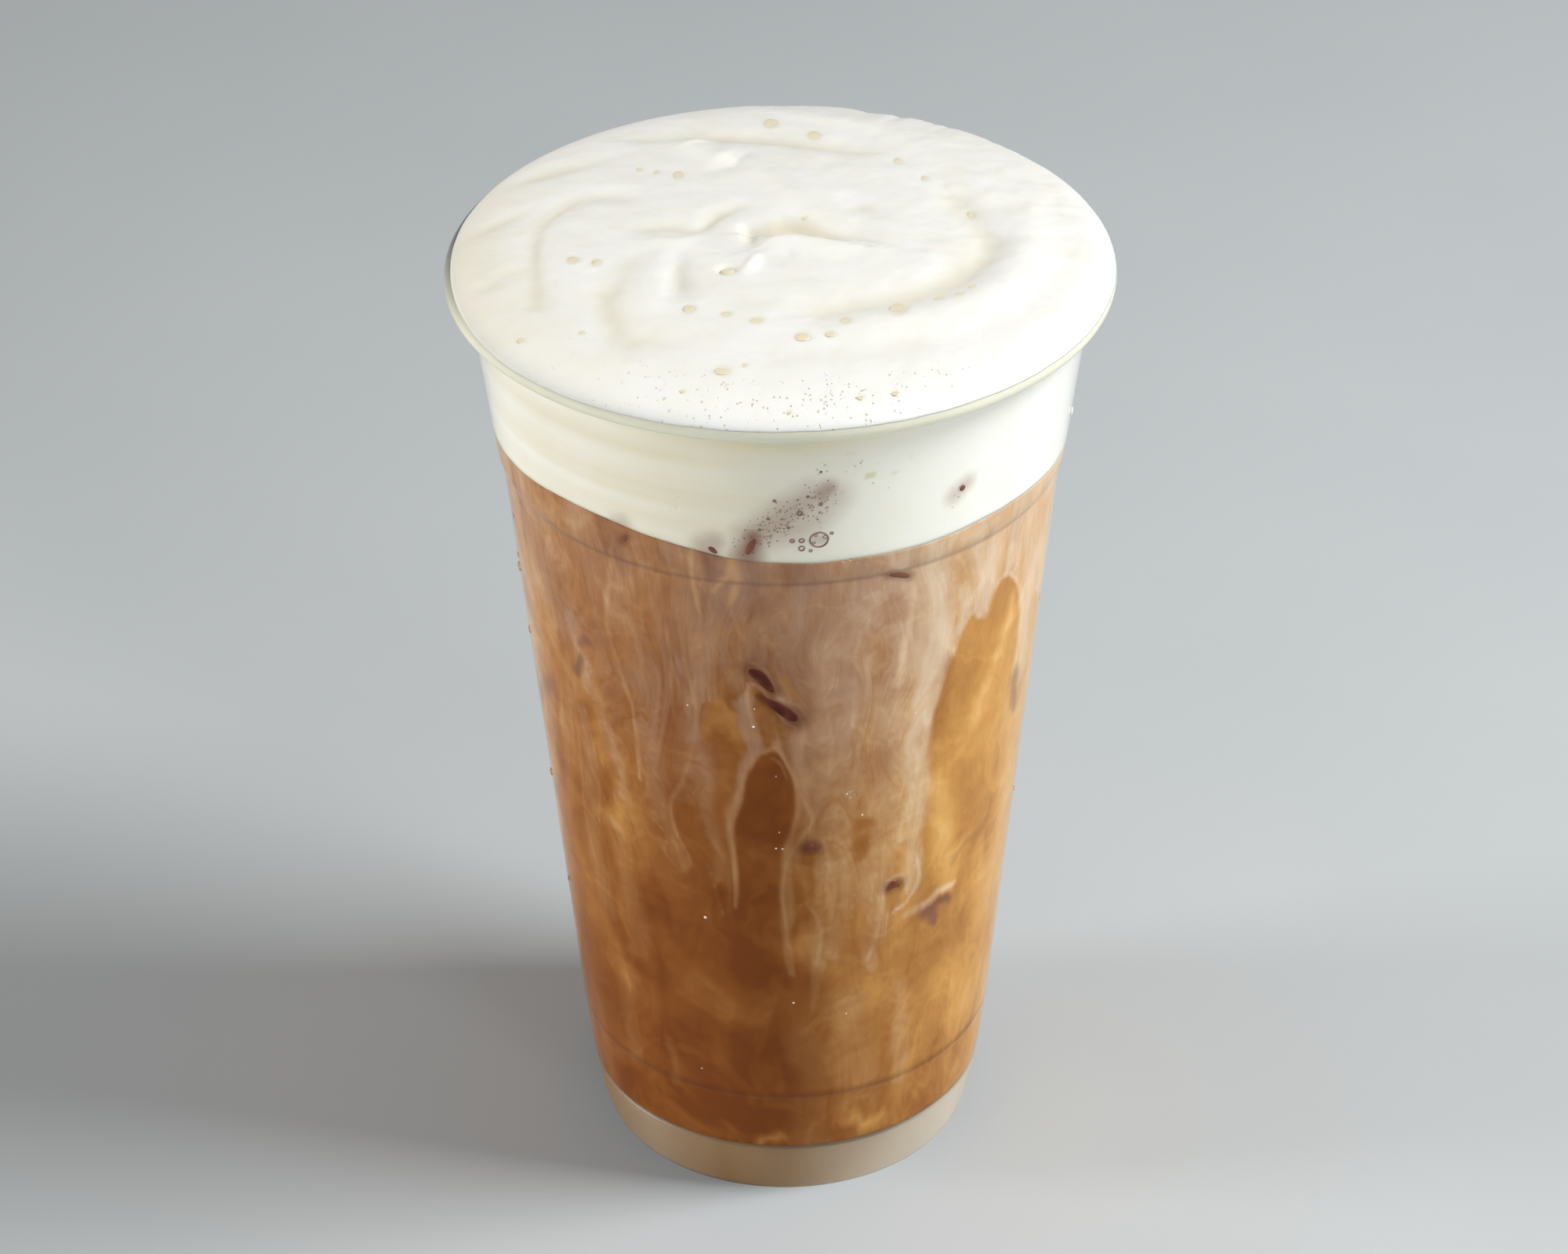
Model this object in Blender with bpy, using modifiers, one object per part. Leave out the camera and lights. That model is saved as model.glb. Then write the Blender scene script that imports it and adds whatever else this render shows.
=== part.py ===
"""A tall clear plastic tumbler of iced latte, capped with cold milk foam that stands above the rim.

Three solids: the cup, the drink inside it and the foam on the drink. Metres, +Z up. The origin is the
centre of the ring that the cup stands on. The front of the glass faces -Y.
"""

import math

import bmesh
import bpy
from mathutils import Vector

MM = 0.001

# Driving dimensions of the cup: outer radii and heights
HEIGHT = 150.0 * MM
RIM_RADIUS = 49.0 * MM
WALL = 0.7 * MM
FOOT_RADIUS = 28.4 * MM
FOOT_WIDTH = 1.2 * MM
FLOOR_TOP = 9.5 * MM
LOW_RING_HEIGHT = 20.3 * MM
LOW_RING_RADIUS = 32.05 * MM
LOW_RING_STEP = 0.3 * MM
SHOULDER_HEIGHT = 119.6 * MM
SHOULDER_RADIUS = 41.6 * MM
SHOULDER_STEP = 0.75 * MM
SHOULDER_RISE = 1.9 * MM
NECK_TOP_RADIUS = 45.55 * MM
BEAD_RADIUS = 1.6 * MM
CURL_END = math.radians(-100)
BASE_BULGE = 0.35 * MM

# The contents
GAP = 0.3 * MM
FOAM_LINE = 123.8 * MM
FOAM_LINE_RISE = 3.1 * MM
FOAM_LINE_RISE_TURN = math.radians(-42)
FOAM_LINE_RISE_SPAN = math.radians(25)
FOAM_CROWN = 3.2 * MM
FOAM_LIP = 1.8 * MM
FOAM_EDGE_LEFT = 47.3 * MM
FOAM_EDGE_RIGHT = 48.8 * MM
FOAM_EDGE_TURN = math.radians(90)
FOAM_DISC_SHARE = 0.93
RELIEF_FADE = 7.0 * MM

TURN_STEPS = 72
FOAM_GRID = 36
FOAM_EDGE_RINGS = 4
CURVE_SAMPLES = 8

# Folds left in the foam by the spoon, seen from above: points (x, y), half width and height, all in
# millimetres. Negative heights are grooves.
FOAM_FOLDS = (
    ([(-28, 12), (-33, 8), (-35, 0), (-35, -8), (-34.5, -18)], 2.2, -1.1),
    ([(-28, 8), (-31, 0), (-30, -10)], 3.0, 0.9),
    ([(-21, -8), (-23.5, -14), (-24.5, -20), (-22, -28), (-17, -30)], 2.8, -0.9),
    ([(-18, -8), (-19.5, -14), (-18.5, -20)], 2.4, 1.0),
    ([(-14, -9), (-14.5, -14), (-14, -18)], 2.0, -0.7),
    ([(28, 8), (31, -2), (29, -9), (25, -15), (20, -19), (9, -23)], 2.0, -1.5),
    ([(36, 4), (35, -6), (31, -16), (24, -23), (14, -26)], 3.6, 1.0),
    ([(41, 8), (40, -8), (34, -20), (25, -28), (12, -33), (0, -34)], 3.0, -0.6),
    ([(-4, 20), (0, 14), (6, 4), (12, 0)], 3.0, 0.6),
    ([(-1, -6), (3, -4.5), (8, -6)], 1.8, 1.9),
    ([(0, -1), (4, -1.5), (8, -2)], 2.0, -1.5),
    ([(-7, 2), (-5, -2)], 2.2, 1.3),
    ([(-20, 1), (-14, 1), (-9, 4), (-6, 8)], 1.8, -1.1),
    ([(-7.5, -12), (-7, -12.8)], 2.2, -1.3),
    ([(-20, 32), (-12, 32), (-2, 30), (12, 26)], 2.2, -1.0),
    ([(-14, 29), (-12, 28)], 2.4, 1.5),
    ([(-9, 24), (-7, 23)], 2.4, 1.3),
    ([(2, 40), (12, 37), (18, 32), (25, 22), (31, 12)], 3.0, 0.7),
    ([(-46, 4), (-38, 9)], 1.7, -0.7),
    ([(-47, -11), (-39, -9)], 1.7, -0.6),
    ([(-40, 20), (-32, 23), (-27, 25)], 2.4, -0.8),
)


def arc(centre, radius, start, end, count):
    """Points (r, z) along a round stretch of an outline."""
    angles = [start + (end - start) * i / count for i in range(count + 1)]
    return [(centre[0] + radius * math.cos(a), centre[1] + radius * math.sin(a)) for a in angles]


def bowed(start, end, bulge, count):
    """Points (r, z) from start to end, standing out by bulge halfway."""
    shares = [i / count for i in range(count + 1)]
    return [
        (
            start[0] + (end[0] - start[0]) * s + bulge * math.sin(math.pi * s),
            start[1] + (end[1] - start[1]) * s,
        )
        for s in shares
    ]


def bead_centre():
    """The centre (r, z) of the rolled rim."""
    return RIM_RADIUS - BEAD_RADIUS, HEIGHT - BEAD_RADIUS


def outer_wall():
    """The cup's outer side from just under the rim down to the heel, as (r, z)."""
    neck_foot = (SHOULDER_RADIUS + SHOULDER_STEP, SHOULDER_HEIGHT + SHOULDER_RISE)
    ring_foot = (LOW_RING_RADIUS - LOW_RING_STEP, LOW_RING_HEIGHT - LOW_RING_STEP)
    heel = (FOOT_RADIUS + 0.9 * MM, 2.2 * MM)
    return [
        (NECK_TOP_RADIUS, HEIGHT - 3.4 * MM),
        neck_foot,
        (SHOULDER_RADIUS + 0.5 * SHOULDER_STEP, SHOULDER_HEIGHT + 0.35 * SHOULDER_RISE),
        (SHOULDER_RADIUS, SHOULDER_HEIGHT),
        (LOW_RING_RADIUS, LOW_RING_HEIGHT),
        *bowed(ring_foot, heel, BASE_BULGE, 5),
        (FOOT_RADIUS + 0.35 * MM, 0.6 * MM),
    ]


def wall_radius(z):
    """The outer radius of the wall at height z, read from its outline."""
    points = sorted(outer_wall(), key=lambda p: p[1])
    for (r0, z0), (r1, z1) in zip(points, points[1:]):
        if z <= z1:
            return r0 + (r1 - r0) * max(0.0, z - z0) / (z1 - z0)
    return points[-1][0]


def cup_outline():
    """One closed run: floor, up the inside, over the rolled rim, down the outside, round the foot."""
    rim = bead_centre()
    curl = BEAD_RADIUS - WALL
    inner_rise = [(r - WALL, z) for r, z in reversed(outer_wall()) if z > FLOOR_TOP + 1.5 * MM]
    skirt = [(r - FOOT_WIDTH, z) for r, z in reversed(outer_wall()) if 1 * MM < z < FLOOR_TOP - 2 * MM]
    floor_corner = wall_radius(FLOOR_TOP) - WALL
    ceiling = FLOOR_TOP - WALL
    return [
        (0.0, FLOOR_TOP),
        (floor_corner - 1.2 * MM, FLOOR_TOP),
        (floor_corner - 0.2 * MM, FLOOR_TOP + 0.4 * MM),
        *inner_rise,
        *arc(rim, BEAD_RADIUS, math.pi, CURL_END, 9),
        *arc(rim, curl, CURL_END, math.pi, 7),
        *outer_wall(),
        (FOOT_RADIUS, 0.0),
        (FOOT_RADIUS - FOOT_WIDTH, 0.0),
        *skirt,
        (wall_radius(ceiling) - FOOT_WIDTH - 0.3 * MM, ceiling - 0.5 * MM),
        (wall_radius(ceiling) - FOOT_WIDTH - 1.0 * MM, ceiling),
        (0.0, ceiling),
    ]


def turned(name, outline):
    """An object with a Screw modifier that turns the outline once about Z."""
    mesh = bpy.data.meshes.new(name)
    ends = range(len(outline) - 1)
    mesh.from_pydata([(r, 0.0, z) for r, z in outline], [(i, i + 1) for i in ends], [])
    obj = bpy.data.objects.new(name, mesh)
    screw = obj.modifiers.new("Turn", "SCREW")
    screw.steps = screw.render_steps = TURN_STEPS
    screw.use_merge_vertices = True
    screw.merge_threshold = 0.00001
    return obj


def reshaped(obj, shape):
    """Makes the turned form a plain mesh and moves each of its points as shape says."""
    bpy.context.scene.collection.objects.link(obj)
    graph = bpy.context.evaluated_depsgraph_get()
    mesh = bpy.data.meshes.new_from_object(obj.evaluated_get(graph))
    bpy.context.scene.collection.objects.unlink(obj)
    obj.modifiers.clear()
    obj.data = mesh
    for vertex in mesh.vertices:
        vertex.co = shape(vertex.co.copy())
    return obj


def turn_of(point):
    """The turn about the cup's axis from the front, positive towards the right."""
    return math.atan2(point.x, -point.y)


def foam_line(point):
    """How far the line between drink and foam rises here: one low hump, which dies at the centre."""
    hump = math.exp(-(((turn_of(point) - FOAM_LINE_RISE_TURN) / FOAM_LINE_RISE_SPAN) ** 2))
    return FOAM_LINE_RISE * hump * min(1.0, point.xy.length / SHOULDER_RADIUS)


def smooth_line(points):
    """Points along a smooth curve through a few given ones, by the Catmull-Rom rule."""
    ends = [2 * points[0] - points[1], *points, 2 * points[-1] - points[-2]]
    line = []
    for a, b, c, d in zip(ends, ends[1:], ends[2:], ends[3:]):
        for i in range(CURVE_SAMPLES):
            t = i / CURVE_SAMPLES
            bend = (2 * a - 5 * b + 4 * c - d) * t * t + (3 * b - a - 3 * c + d) * t**3
            line.append(b + 0.5 * ((c - a) * t + bend))
    return [*line, points[-1]]


def distance_to(line, point):
    """The shortest way in plan from point to a run of short straight stretches."""
    nearest = math.inf
    for a, b in zip(line, line[1:]):
        along = b - a
        share = max(0.0, min(1.0, (point - a).dot(along) / along.length_squared))
        nearest = min(nearest, (point - a - share * along).length)
    return nearest


def foam_relief(folds, point):
    """The height that the spoon's folds add to the foam at a point seen from above."""
    spot = point.xy / MM
    return MM * sum(h * math.exp(-((distance_to(line, spot) / w) ** 2)) for line, w, h in folds)


def foam_height(radius):
    """The foam's upper side before its folds: a low dome that turns down to the rim at its edge."""
    share = min(1.0, radius / FOAM_EDGE_LEFT)
    drop = FOAM_LIP * (1 - share**14) ** 0.5
    return HEIGHT + GAP + drop + FOAM_CROWN * (1 - share**2.2)


def foam_rings():
    """The rings (r, z) that run from the dome's disc over its edge, onto the rim and down the wall."""
    disc = FOAM_DISC_SHARE * FOAM_EDGE_LEFT
    turns = [i / FOAM_EDGE_RINGS for i in range(1, FOAM_EDGE_RINGS + 1)]
    edge = [disc + (FOAM_EDGE_LEFT - disc) * math.sin(0.5 * math.pi * t) for t in turns]
    neck = [(r - WALL - GAP, z) for r, z in outer_wall() if z > FOAM_LINE + 3 * MM][0]
    foot = (wall_radius(FOAM_LINE) - WALL - GAP, FOAM_LINE + GAP / 2)
    return [
        *[(r, foam_height(r)) for r in edge],
        *arc(bead_centre(), BEAD_RADIUS + GAP, math.radians(110), math.radians(175), 2),
        *bowed(neck, foot, 0.0, 3),
    ]


def domed_disc(grid):
    """Rounds a square grid of side 2 into the dome's disc, so that its faces stay about one size."""
    for vertex in grid:
        x, y = vertex.co.x, vertex.co.y
        spot = Vector((x * math.sqrt(1 - y * y / 2), y * math.sqrt(1 - x * x / 2)))
        spot *= FOAM_DISC_SHARE * FOAM_EDGE_LEFT
        vertex.co = (spot.x, spot.y, foam_height(spot.length))


def foam_body(name, folds):
    """The foam: a domed disc whose border is drawn out ring by ring down to its flat underside."""
    form = bmesh.new()
    grid = bmesh.ops.create_grid(form, x_segments=FOAM_GRID, y_segments=FOAM_GRID, size=1.0)["verts"]
    domed_disc(grid)
    border = [edge for edge in form.edges if edge.is_boundary]
    for radius, height in foam_rings():
        drawn = bmesh.ops.extrude_edge_only(form, edges=border)["geom"]
        border = [part for part in drawn if isinstance(part, bmesh.types.BMEdge)]
        for vertex in {vertex for edge in border for vertex in edge.verts}:
            outward = vertex.co.xy.normalized() * radius
            vertex.co = (outward.x, outward.y, height)
    underside = bmesh.ops.edgeloop_fill(form, edges=border)["faces"]
    bmesh.ops.poke(form, faces=underside)
    for vertex in form.verts:
        vertex.co = foam_point(folds, vertex.co.copy())
    bmesh.ops.recalc_face_normals(form, faces=form.faces)
    mesh = bpy.data.meshes.new(name)
    form.to_mesh(mesh)
    form.free()
    return bpy.data.objects.new(name, mesh)


def foam_point(folds, point):
    """Where a point of the plain foam goes: folds on top, a wavy underside, a wider edge to the right."""
    radius = point.xy.length
    if point.z < FOAM_LINE + GAP:
        point.z += foam_line(point)
    if point.z <= HEIGHT + GAP - 0.01 * MM:
        return point
    fade = min(1.0, max(0.0, (FOAM_EDGE_LEFT - radius) / RELIEF_FADE))
    point.z += foam_relief(folds, point) * fade * fade * (3 - 2 * fade)
    spill = 0.5 + 0.5 * math.cos(turn_of(point) - FOAM_EDGE_TURN)
    stretch = 1 + (FOAM_EDGE_RIGHT / FOAM_EDGE_LEFT - 1) * spill * (radius / FOAM_EDGE_LEFT) ** 8
    return Vector((point.x * stretch, point.y * stretch, point.z))


def drink_outline():
    """The drink: its top under the foam, its side down the wall and round the low ring, its underside."""
    low, high = FLOOR_TOP + 2 * MM, FOAM_LINE - 1.5 * MM
    side = [(r - WALL - GAP, z) for r, z in outer_wall() if low < z < high]
    line_radius = wall_radius(FOAM_LINE) - WALL - GAP
    corner = wall_radius(FLOOR_TOP) - WALL - GAP
    return [
        (0.0, FOAM_LINE - GAP / 2),
        (0.5 * line_radius, FOAM_LINE - GAP / 2),
        (line_radius, FOAM_LINE - GAP / 2),
        *side,
        (corner - 0.3 * MM, FLOOR_TOP + 0.9 * MM),
        (corner - 1.3 * MM, FLOOR_TOP + GAP),
        (0.0, FLOOR_TOP + GAP),
    ]


def drink_shape(point):
    """Lets the drink's top follow the foam line."""
    if point.z > FOAM_LINE - GAP:
        point.z += foam_line(point)
    return point


def finish(name, colour, roughness, **extra):
    """A Principled material of one colour."""
    material = bpy.data.materials.new(name)
    material.use_nodes = True
    shader = material.node_tree.nodes["Principled BSDF"]
    shader.inputs["Base Color"].default_value = (*colour, 1.0)
    shader.inputs["Roughness"].default_value = roughness
    shader.inputs["Metallic"].default_value = 0.0
    for socket, value in extra.items():
        shader.inputs[socket].default_value = value
    return material


def add_to(collection, obj, material):
    """Puts a finished piece in the collection, shaded smooth, with its material."""
    collection.objects.link(obj)
    obj.data.materials.append(material)
    obj.data.shade_smooth()


def clear_scene():
    for obj in list(bpy.data.objects):
        bpy.data.objects.remove(obj)


def main():
    clear_scene()
    latte = bpy.data.collections.new("iced_latte")
    bpy.context.scene.collection.children.link(latte)
    folds = [(smooth_line([Vector(p) for p in points]), w, h) for points, w, h in FOAM_FOLDS]

    cup = turned("cup", cup_outline())
    drink = reshaped(turned("drink", drink_outline()), drink_shape)
    foam = foam_body("foam", folds)

    add_to(latte, cup, finish("clear_plastic", (0.93, 0.95, 0.94), 0.06, **{"Transmission Weight": 1.0}))
    add_to(latte, drink, finish("coffee_and_milk", (0.33, 0.14, 0.05), 0.35))
    add_to(latte, foam, finish("milk_foam", (0.90, 0.88, 0.82), 0.6))


main()
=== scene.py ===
"""A tall clear tumbler of iced latte: marbled coffee, ice under its surface and a cap of cold milk foam.

Metres, +Z up. The origin is the centre of the ring that the cup stands on, and the front faces -Y. A
turn is an angle about the cup's axis from the front, in degrees, positive towards the right. Lists of
what lies on the cup's wall give their places as (turn in degrees, height in millimetres), and lists of
what lies on the foam give them as (x, y) in millimetres, as seen from above.
"""

import math

import bmesh
import bpy
import numpy as np
from mathutils import Matrix, Vector


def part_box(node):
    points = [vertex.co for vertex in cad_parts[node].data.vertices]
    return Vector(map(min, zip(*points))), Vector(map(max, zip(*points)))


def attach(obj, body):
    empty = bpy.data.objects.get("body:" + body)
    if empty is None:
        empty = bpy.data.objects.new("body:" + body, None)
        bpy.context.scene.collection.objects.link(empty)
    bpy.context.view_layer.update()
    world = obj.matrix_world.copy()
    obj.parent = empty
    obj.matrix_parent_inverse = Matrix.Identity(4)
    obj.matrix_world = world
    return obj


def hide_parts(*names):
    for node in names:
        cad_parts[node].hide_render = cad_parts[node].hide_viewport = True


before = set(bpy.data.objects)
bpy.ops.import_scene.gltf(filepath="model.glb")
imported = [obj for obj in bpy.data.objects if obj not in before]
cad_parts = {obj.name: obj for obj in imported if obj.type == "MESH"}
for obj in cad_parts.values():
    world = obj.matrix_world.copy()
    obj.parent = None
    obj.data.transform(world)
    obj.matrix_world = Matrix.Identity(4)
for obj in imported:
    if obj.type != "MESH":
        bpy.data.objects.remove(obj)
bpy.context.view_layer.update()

MM = 0.001

# The cup, with the outline that its solid has
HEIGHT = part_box("cup")[1].z
RIM_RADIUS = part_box("cup")[1].x
WALL = 0.7 * MM
CORNER_REACH = 0.45 * MM
FOOT_RADIUS = 28.4 * MM
FOOT_WIDTH = 1.2 * MM
FLOOR_TOP = 9.5 * MM
LOW_RING_HEIGHT = 20.3 * MM
LOW_RING_RADIUS = 32.05 * MM
LOW_RING_STEP = 0.18 * MM
SHOULDER_HEIGHT = 119.6 * MM
SHOULDER_RADIUS = 41.6 * MM
SHOULDER_STEP = 0.75 * MM
SHOULDER_RISE = 1.9 * MM
NECK_TOP = HEIGHT - 3.4 * MM
NECK_TOP_RADIUS = 45.55 * MM
BEAD_RADIUS = 1.6 * MM
CURL_END = math.radians(-100)
BASE_BULGE = 0.35 * MM
# The foot is frosted below the first height, and the rim has its own finish above the second
FROST_TOP = 9.4 * MM
RIM_START = HEIGHT - 3.3 * MM
# How bare of foam the rolled rim is, and how much coffee shows in the frosted foot by turn; the foot's
# levels are also painted light, paler on its lit right side
BARE_TURNS = (-180, -166, -146, -98, -66, 180)
BARE_LEVELS = (0.0, 0.1, 1.0, 1.0, 0.0, 0.0)
AMBER_TURNS = (-180, -75, -45, -20, 0, 35, 60, 180)
AMBER_LEVELS = (0.8, 1.0, 0.7, 1.0, 0.95, 0.3, 0.0, 0.8)

# The contents reach just into the wall, so that no air shows between them and it
REACH = 0.15 * MM
# How much the coffee's lower edge is rounded
HEEL = 0.8 * MM
# The line between coffee and foam on the wall: its usual height, its height in mm by turn, how many degrees
# smooth it, and the size in mm of its ripples
FOAM_LINE = 123.8 * MM
FOAM_LINE_TURNS = (-180, -120, -85, -60, -42, -30, -20, -10, 0, 30, 45, 60, 75, 100, 140, 180)
FOAM_LINE_HEIGHTS = (124.1, 124.4, 125.2, 126.2, 127.1, 126.4, 125.5, 124.3, 123.7, 123.7, 124.1, 123.9,
                     123.0, 123.2, 123.9, 124.1)
LINE_BLUR = 5
LINE_RIPPLE = 0.12
# The foam's top: its rise in the middle, its lip, where its edge lies, and how far in its relief fades
FOAM_CROWN = 3.2 * MM
FOAM_LIP = 1.8 * MM
FOAM_EDGE = 47.3 * MM
RELIEF_FADE = 6.0 * MM
# How much further out the edge lies in mm, where the rim is bare and where foam spills over it
BARE_OUTSET = 0.6
SPILL = 0.93
OUTSET_LIMITS = (-1.1, 1.57)

# How finely the pieces are cut
CUP_STEPS = 160
COFFEE_STEPS = 396
COFFEE_RINGS = 236
COFFEE_CROWDING = 0.45
FOAM_GRID = 180
FOAM_DISC_SHARE = 0.93
FOAM_EDGE_RINGS = 12
FOAM_WALL_RINGS = 46
LINE_SAMPLES = 8
# A distance that no stroke or fold reaches, in mm as well as in half widths
FAR = 99.0

# Patterns of hills: rows before they repeat, a shift off the first row, and each finer layer's strength
HILL_ROWS = 97
HILL_SHIFT = 7.3
LAYER_FADE = 0.55

# The camera, as fitted to the photograph: millimetres of lens and sensor, degrees, metres
LENS = 117.0
SENSOR = 36.0
CAMERA_RISE = 32.63
CAMERA_ROLL = -0.44
CAMERA_DISTANCE = 776.1 * MM
AIM = (0.16 * MM, 0.0, 86.08 * MM)
# Lights: turn and rise in degrees, size in metres, watts, colour, spread in degrees
LIGHTS = {
    "key": (83, 46, 0.46, 13.6, (1.0, 0.99, 0.97), 180),
    "left_window": (-86, 8, 0.3, 1.37, (1.0, 0.965, 0.925), 60),
    "right_fill": (34, 8, 0.3, 0.5, (1.0, 0.995, 0.98), 60),
}
LIGHT_DISTANCE = 1.2
SURROUND_COLOUR = (1.0, 0.99, 0.97, 1.0)
SURROUND_STRENGTH = 0.215
FLOOR_RADIUS = 2.5

# How strongly amber shows through the coffee, from 0, dark brown, to 1, gold, at four heights; partly the
# coffee's own colour and partly painted light, golder on the lit right side
GLOW_TURNS = (-180, -130, -90, -75, -60, -45, -30, -15, 0, 15, 30, 45, 60, 75, 120, 180)
GLOW_HEIGHTS = (13, 29, 56, 100)
GLOW_LEVELS = (
    (0.30, 0.30, 0.28, 0.18, 0.14, 0.10, 0.10, 0.04, 0.06, 0.38, 0.40, 0.42, 0.60, 0.74, 0.60, 0.30),
    (0.30, 0.30, 0.30, 0.20, 0.14, 0.10, 0.11, 0.04, 0.06, 0.48, 0.58, 0.62, 0.73, 0.84, 0.60, 0.30),
    (0.50, 0.50, 0.58, 0.52, 0.40, 0.34, 0.20, 0.08, 0.14, 0.50, 0.60, 0.68, 0.76, 0.90, 0.75, 0.50),
    (0.55, 0.52, 0.60, 0.54, 0.48, 0.38, 0.34, 0.28, 0.36, 0.42, 0.70, 0.74, 0.76, 0.93, 0.80, 0.55),
)
# How far down the milk's fingers come, and how thick the milk hangs above them
VEIL_TURNS = (-180, -140, -100, -80, -60, -45, -38, -30, -20, -14, -8, -3, 2, 8, 15, 25, 33, 38, 48, 60,
              70, 85, 110, 145, 180)
VEIL_LOWS = (56, 44, 60, 66, 60, 58, 62, 62, 64, 62, 84, 84, 66, 54, 52, 50, 56, 84, 100, 94, 76, 64, 60,
             46, 56)
THICK_TURNS = (-180, -120, -80, -50, -36, -20, -5, 8, 20, 30, 40, 60, 80, 120, 180)
THICK_LEVELS = (0.75, 0.7, 0.40, 0.36, 0.44, 0.46, 0.66, 0.72, 0.84, 1.0, 0.9, 0.6, 0.6, 0.7, 0.75)

# Eddies that stir the milk, and smaller ones that roughen what is drawn below: width in degrees, height
# in mm, sideways reach in mm, seed
EDDIES = ((17, 30, 1.7, 3), (7.5, 14, 0.8, 4), (3.2, 6, 0.3, 5))
RIPPLES = ((7, 11, 0.25, 6), (3, 5, 0.1, 7))
STIR_STEPS = 3
# About how many mm one degree spans on the wall
DEGREE = 0.65
# Seeds of what is drawn at random
BACK_SEED = 6
PIN_SEED = 9
# The coffee's side that the front view doesn't show: the turns of its plumes and of its pockets
BACK_PLUME_TURNS = range(92, 268, 13)
BACK_POCKET_TURNS = (106, 141, 176, 214, 249)
# How wide the flow's streaks are round the cup, and how long they are in mm
FLOW_ROUND = 22.0
FLOW_LENGTH = 14.0

# Outlines of the large pockets of clear coffee: outline, glow, softness in mm at its top and its foot
OPENINGS = (
    ([(-12.6, 60), (-11.9, 68), (-11.2, 74.2), (-10.2, 78), (-9.1, 82), (-7.8, 85), (-6.1, 87.4),
      (-3.8, 88.9), (-1.9, 88.6), (-0.1, 87), (1.5, 84.5), (2.4, 81.5), (2.2, 77.5), (0.8, 73.5),
      (-0.6, 69), (-1.4, 64), (-1.8, 57), (-3, 46), (-8, 42), (-12, 48)], 0.04, 0.35, 3.0),
    ([(34.4, 82.9), (34.5, 88.3), (35.6, 92.3), (37.3, 97.1), (39.2, 100.8), (41, 104.6), (43.6, 106.2),
      (45.2, 105), (47.8, 104.2), (49.4, 106), (50.6, 109), (52.4, 110), (55.4, 109), (59.9, 105.8),
      (62, 101), (63, 94), (62, 86), (60, 78), (56, 70), (50, 62), (45, 58), (41, 62), (38, 69),
      (36, 76)], 0.7, 0.3, 2.6),
)
# Smaller pockets: middle line, half widths in mm at its ends, glow, softness, how clear it is
POCKETS = (
    ([(-13.6, 95), (-13.2, 91.5)], 2.7, 3.1, 0.5, 0.3, 0.9),
    ([(-13.2, 90), (-13.6, 82), (-13.8, 74)], 2.2, 1.0, 0.28, 0.8, 0.6),
    ([(-24.7, 75.9), (-22.8, 72.9), (-20.6, 68.6)], 1.7, 2.4, 0.2, 0.45, 0.9),
    ([(-36.4, 95), (-36.2, 86), (-36.6, 77)], 1.0, 1.5, 0.35, 0.8, 0.7),
    ([(-45.6, 93), (-46.2, 86), (-46, 80)], 1.0, 1.6, 0.5, 0.9, 0.7),
    ([(-65, 99), (-61, 92)], 3.2, 3.6, 0.62, 0.9, 0.8),
    ([(-5.9, 99.7), (-4.4, 98.3), (-2.5, 96.8)], 0.8, 0.9, 0.3, 0.5, 0.8),
    ([(-4.4, 95.6), (-2.4, 92.6)], 1.8, 2.4, 0.25, 0.8, 0.5),
    ([(0.4, 104.2), (1.1, 102.2), (1.7, 100.7), (2.6, 99.5)], 0.45, 0.35, 0.5, 0.5, 0.9),
    ([(18.7, 73.4), (18.4, 71), (18.1, 68.6)], 1.5, 1.7, 0.36, 0.5, 0.75),
    ([(6, 69.4), (6, 65.9), (5.8, 61)], 0.8, 0.7, 0.28, 0.7, 0.7),
    ([(27.4, 59), (27.6, 56.6)], 1.4, 1.3, 0.5, 0.5, 0.85),
    ([(22, 115), (22.6, 108), (21, 102)], 1.6, 1.4, 0.5, 0.9, 0.35),
    ([(-22, 119), (-25, 112), (-24, 106)], 3.0, 3.4, 0.3, 0.9, 0.3),
    ([(-9, 112), (-10.4, 104)], 1.0, 0.8, 0.35, 0.9, 0.45),
)
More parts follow.
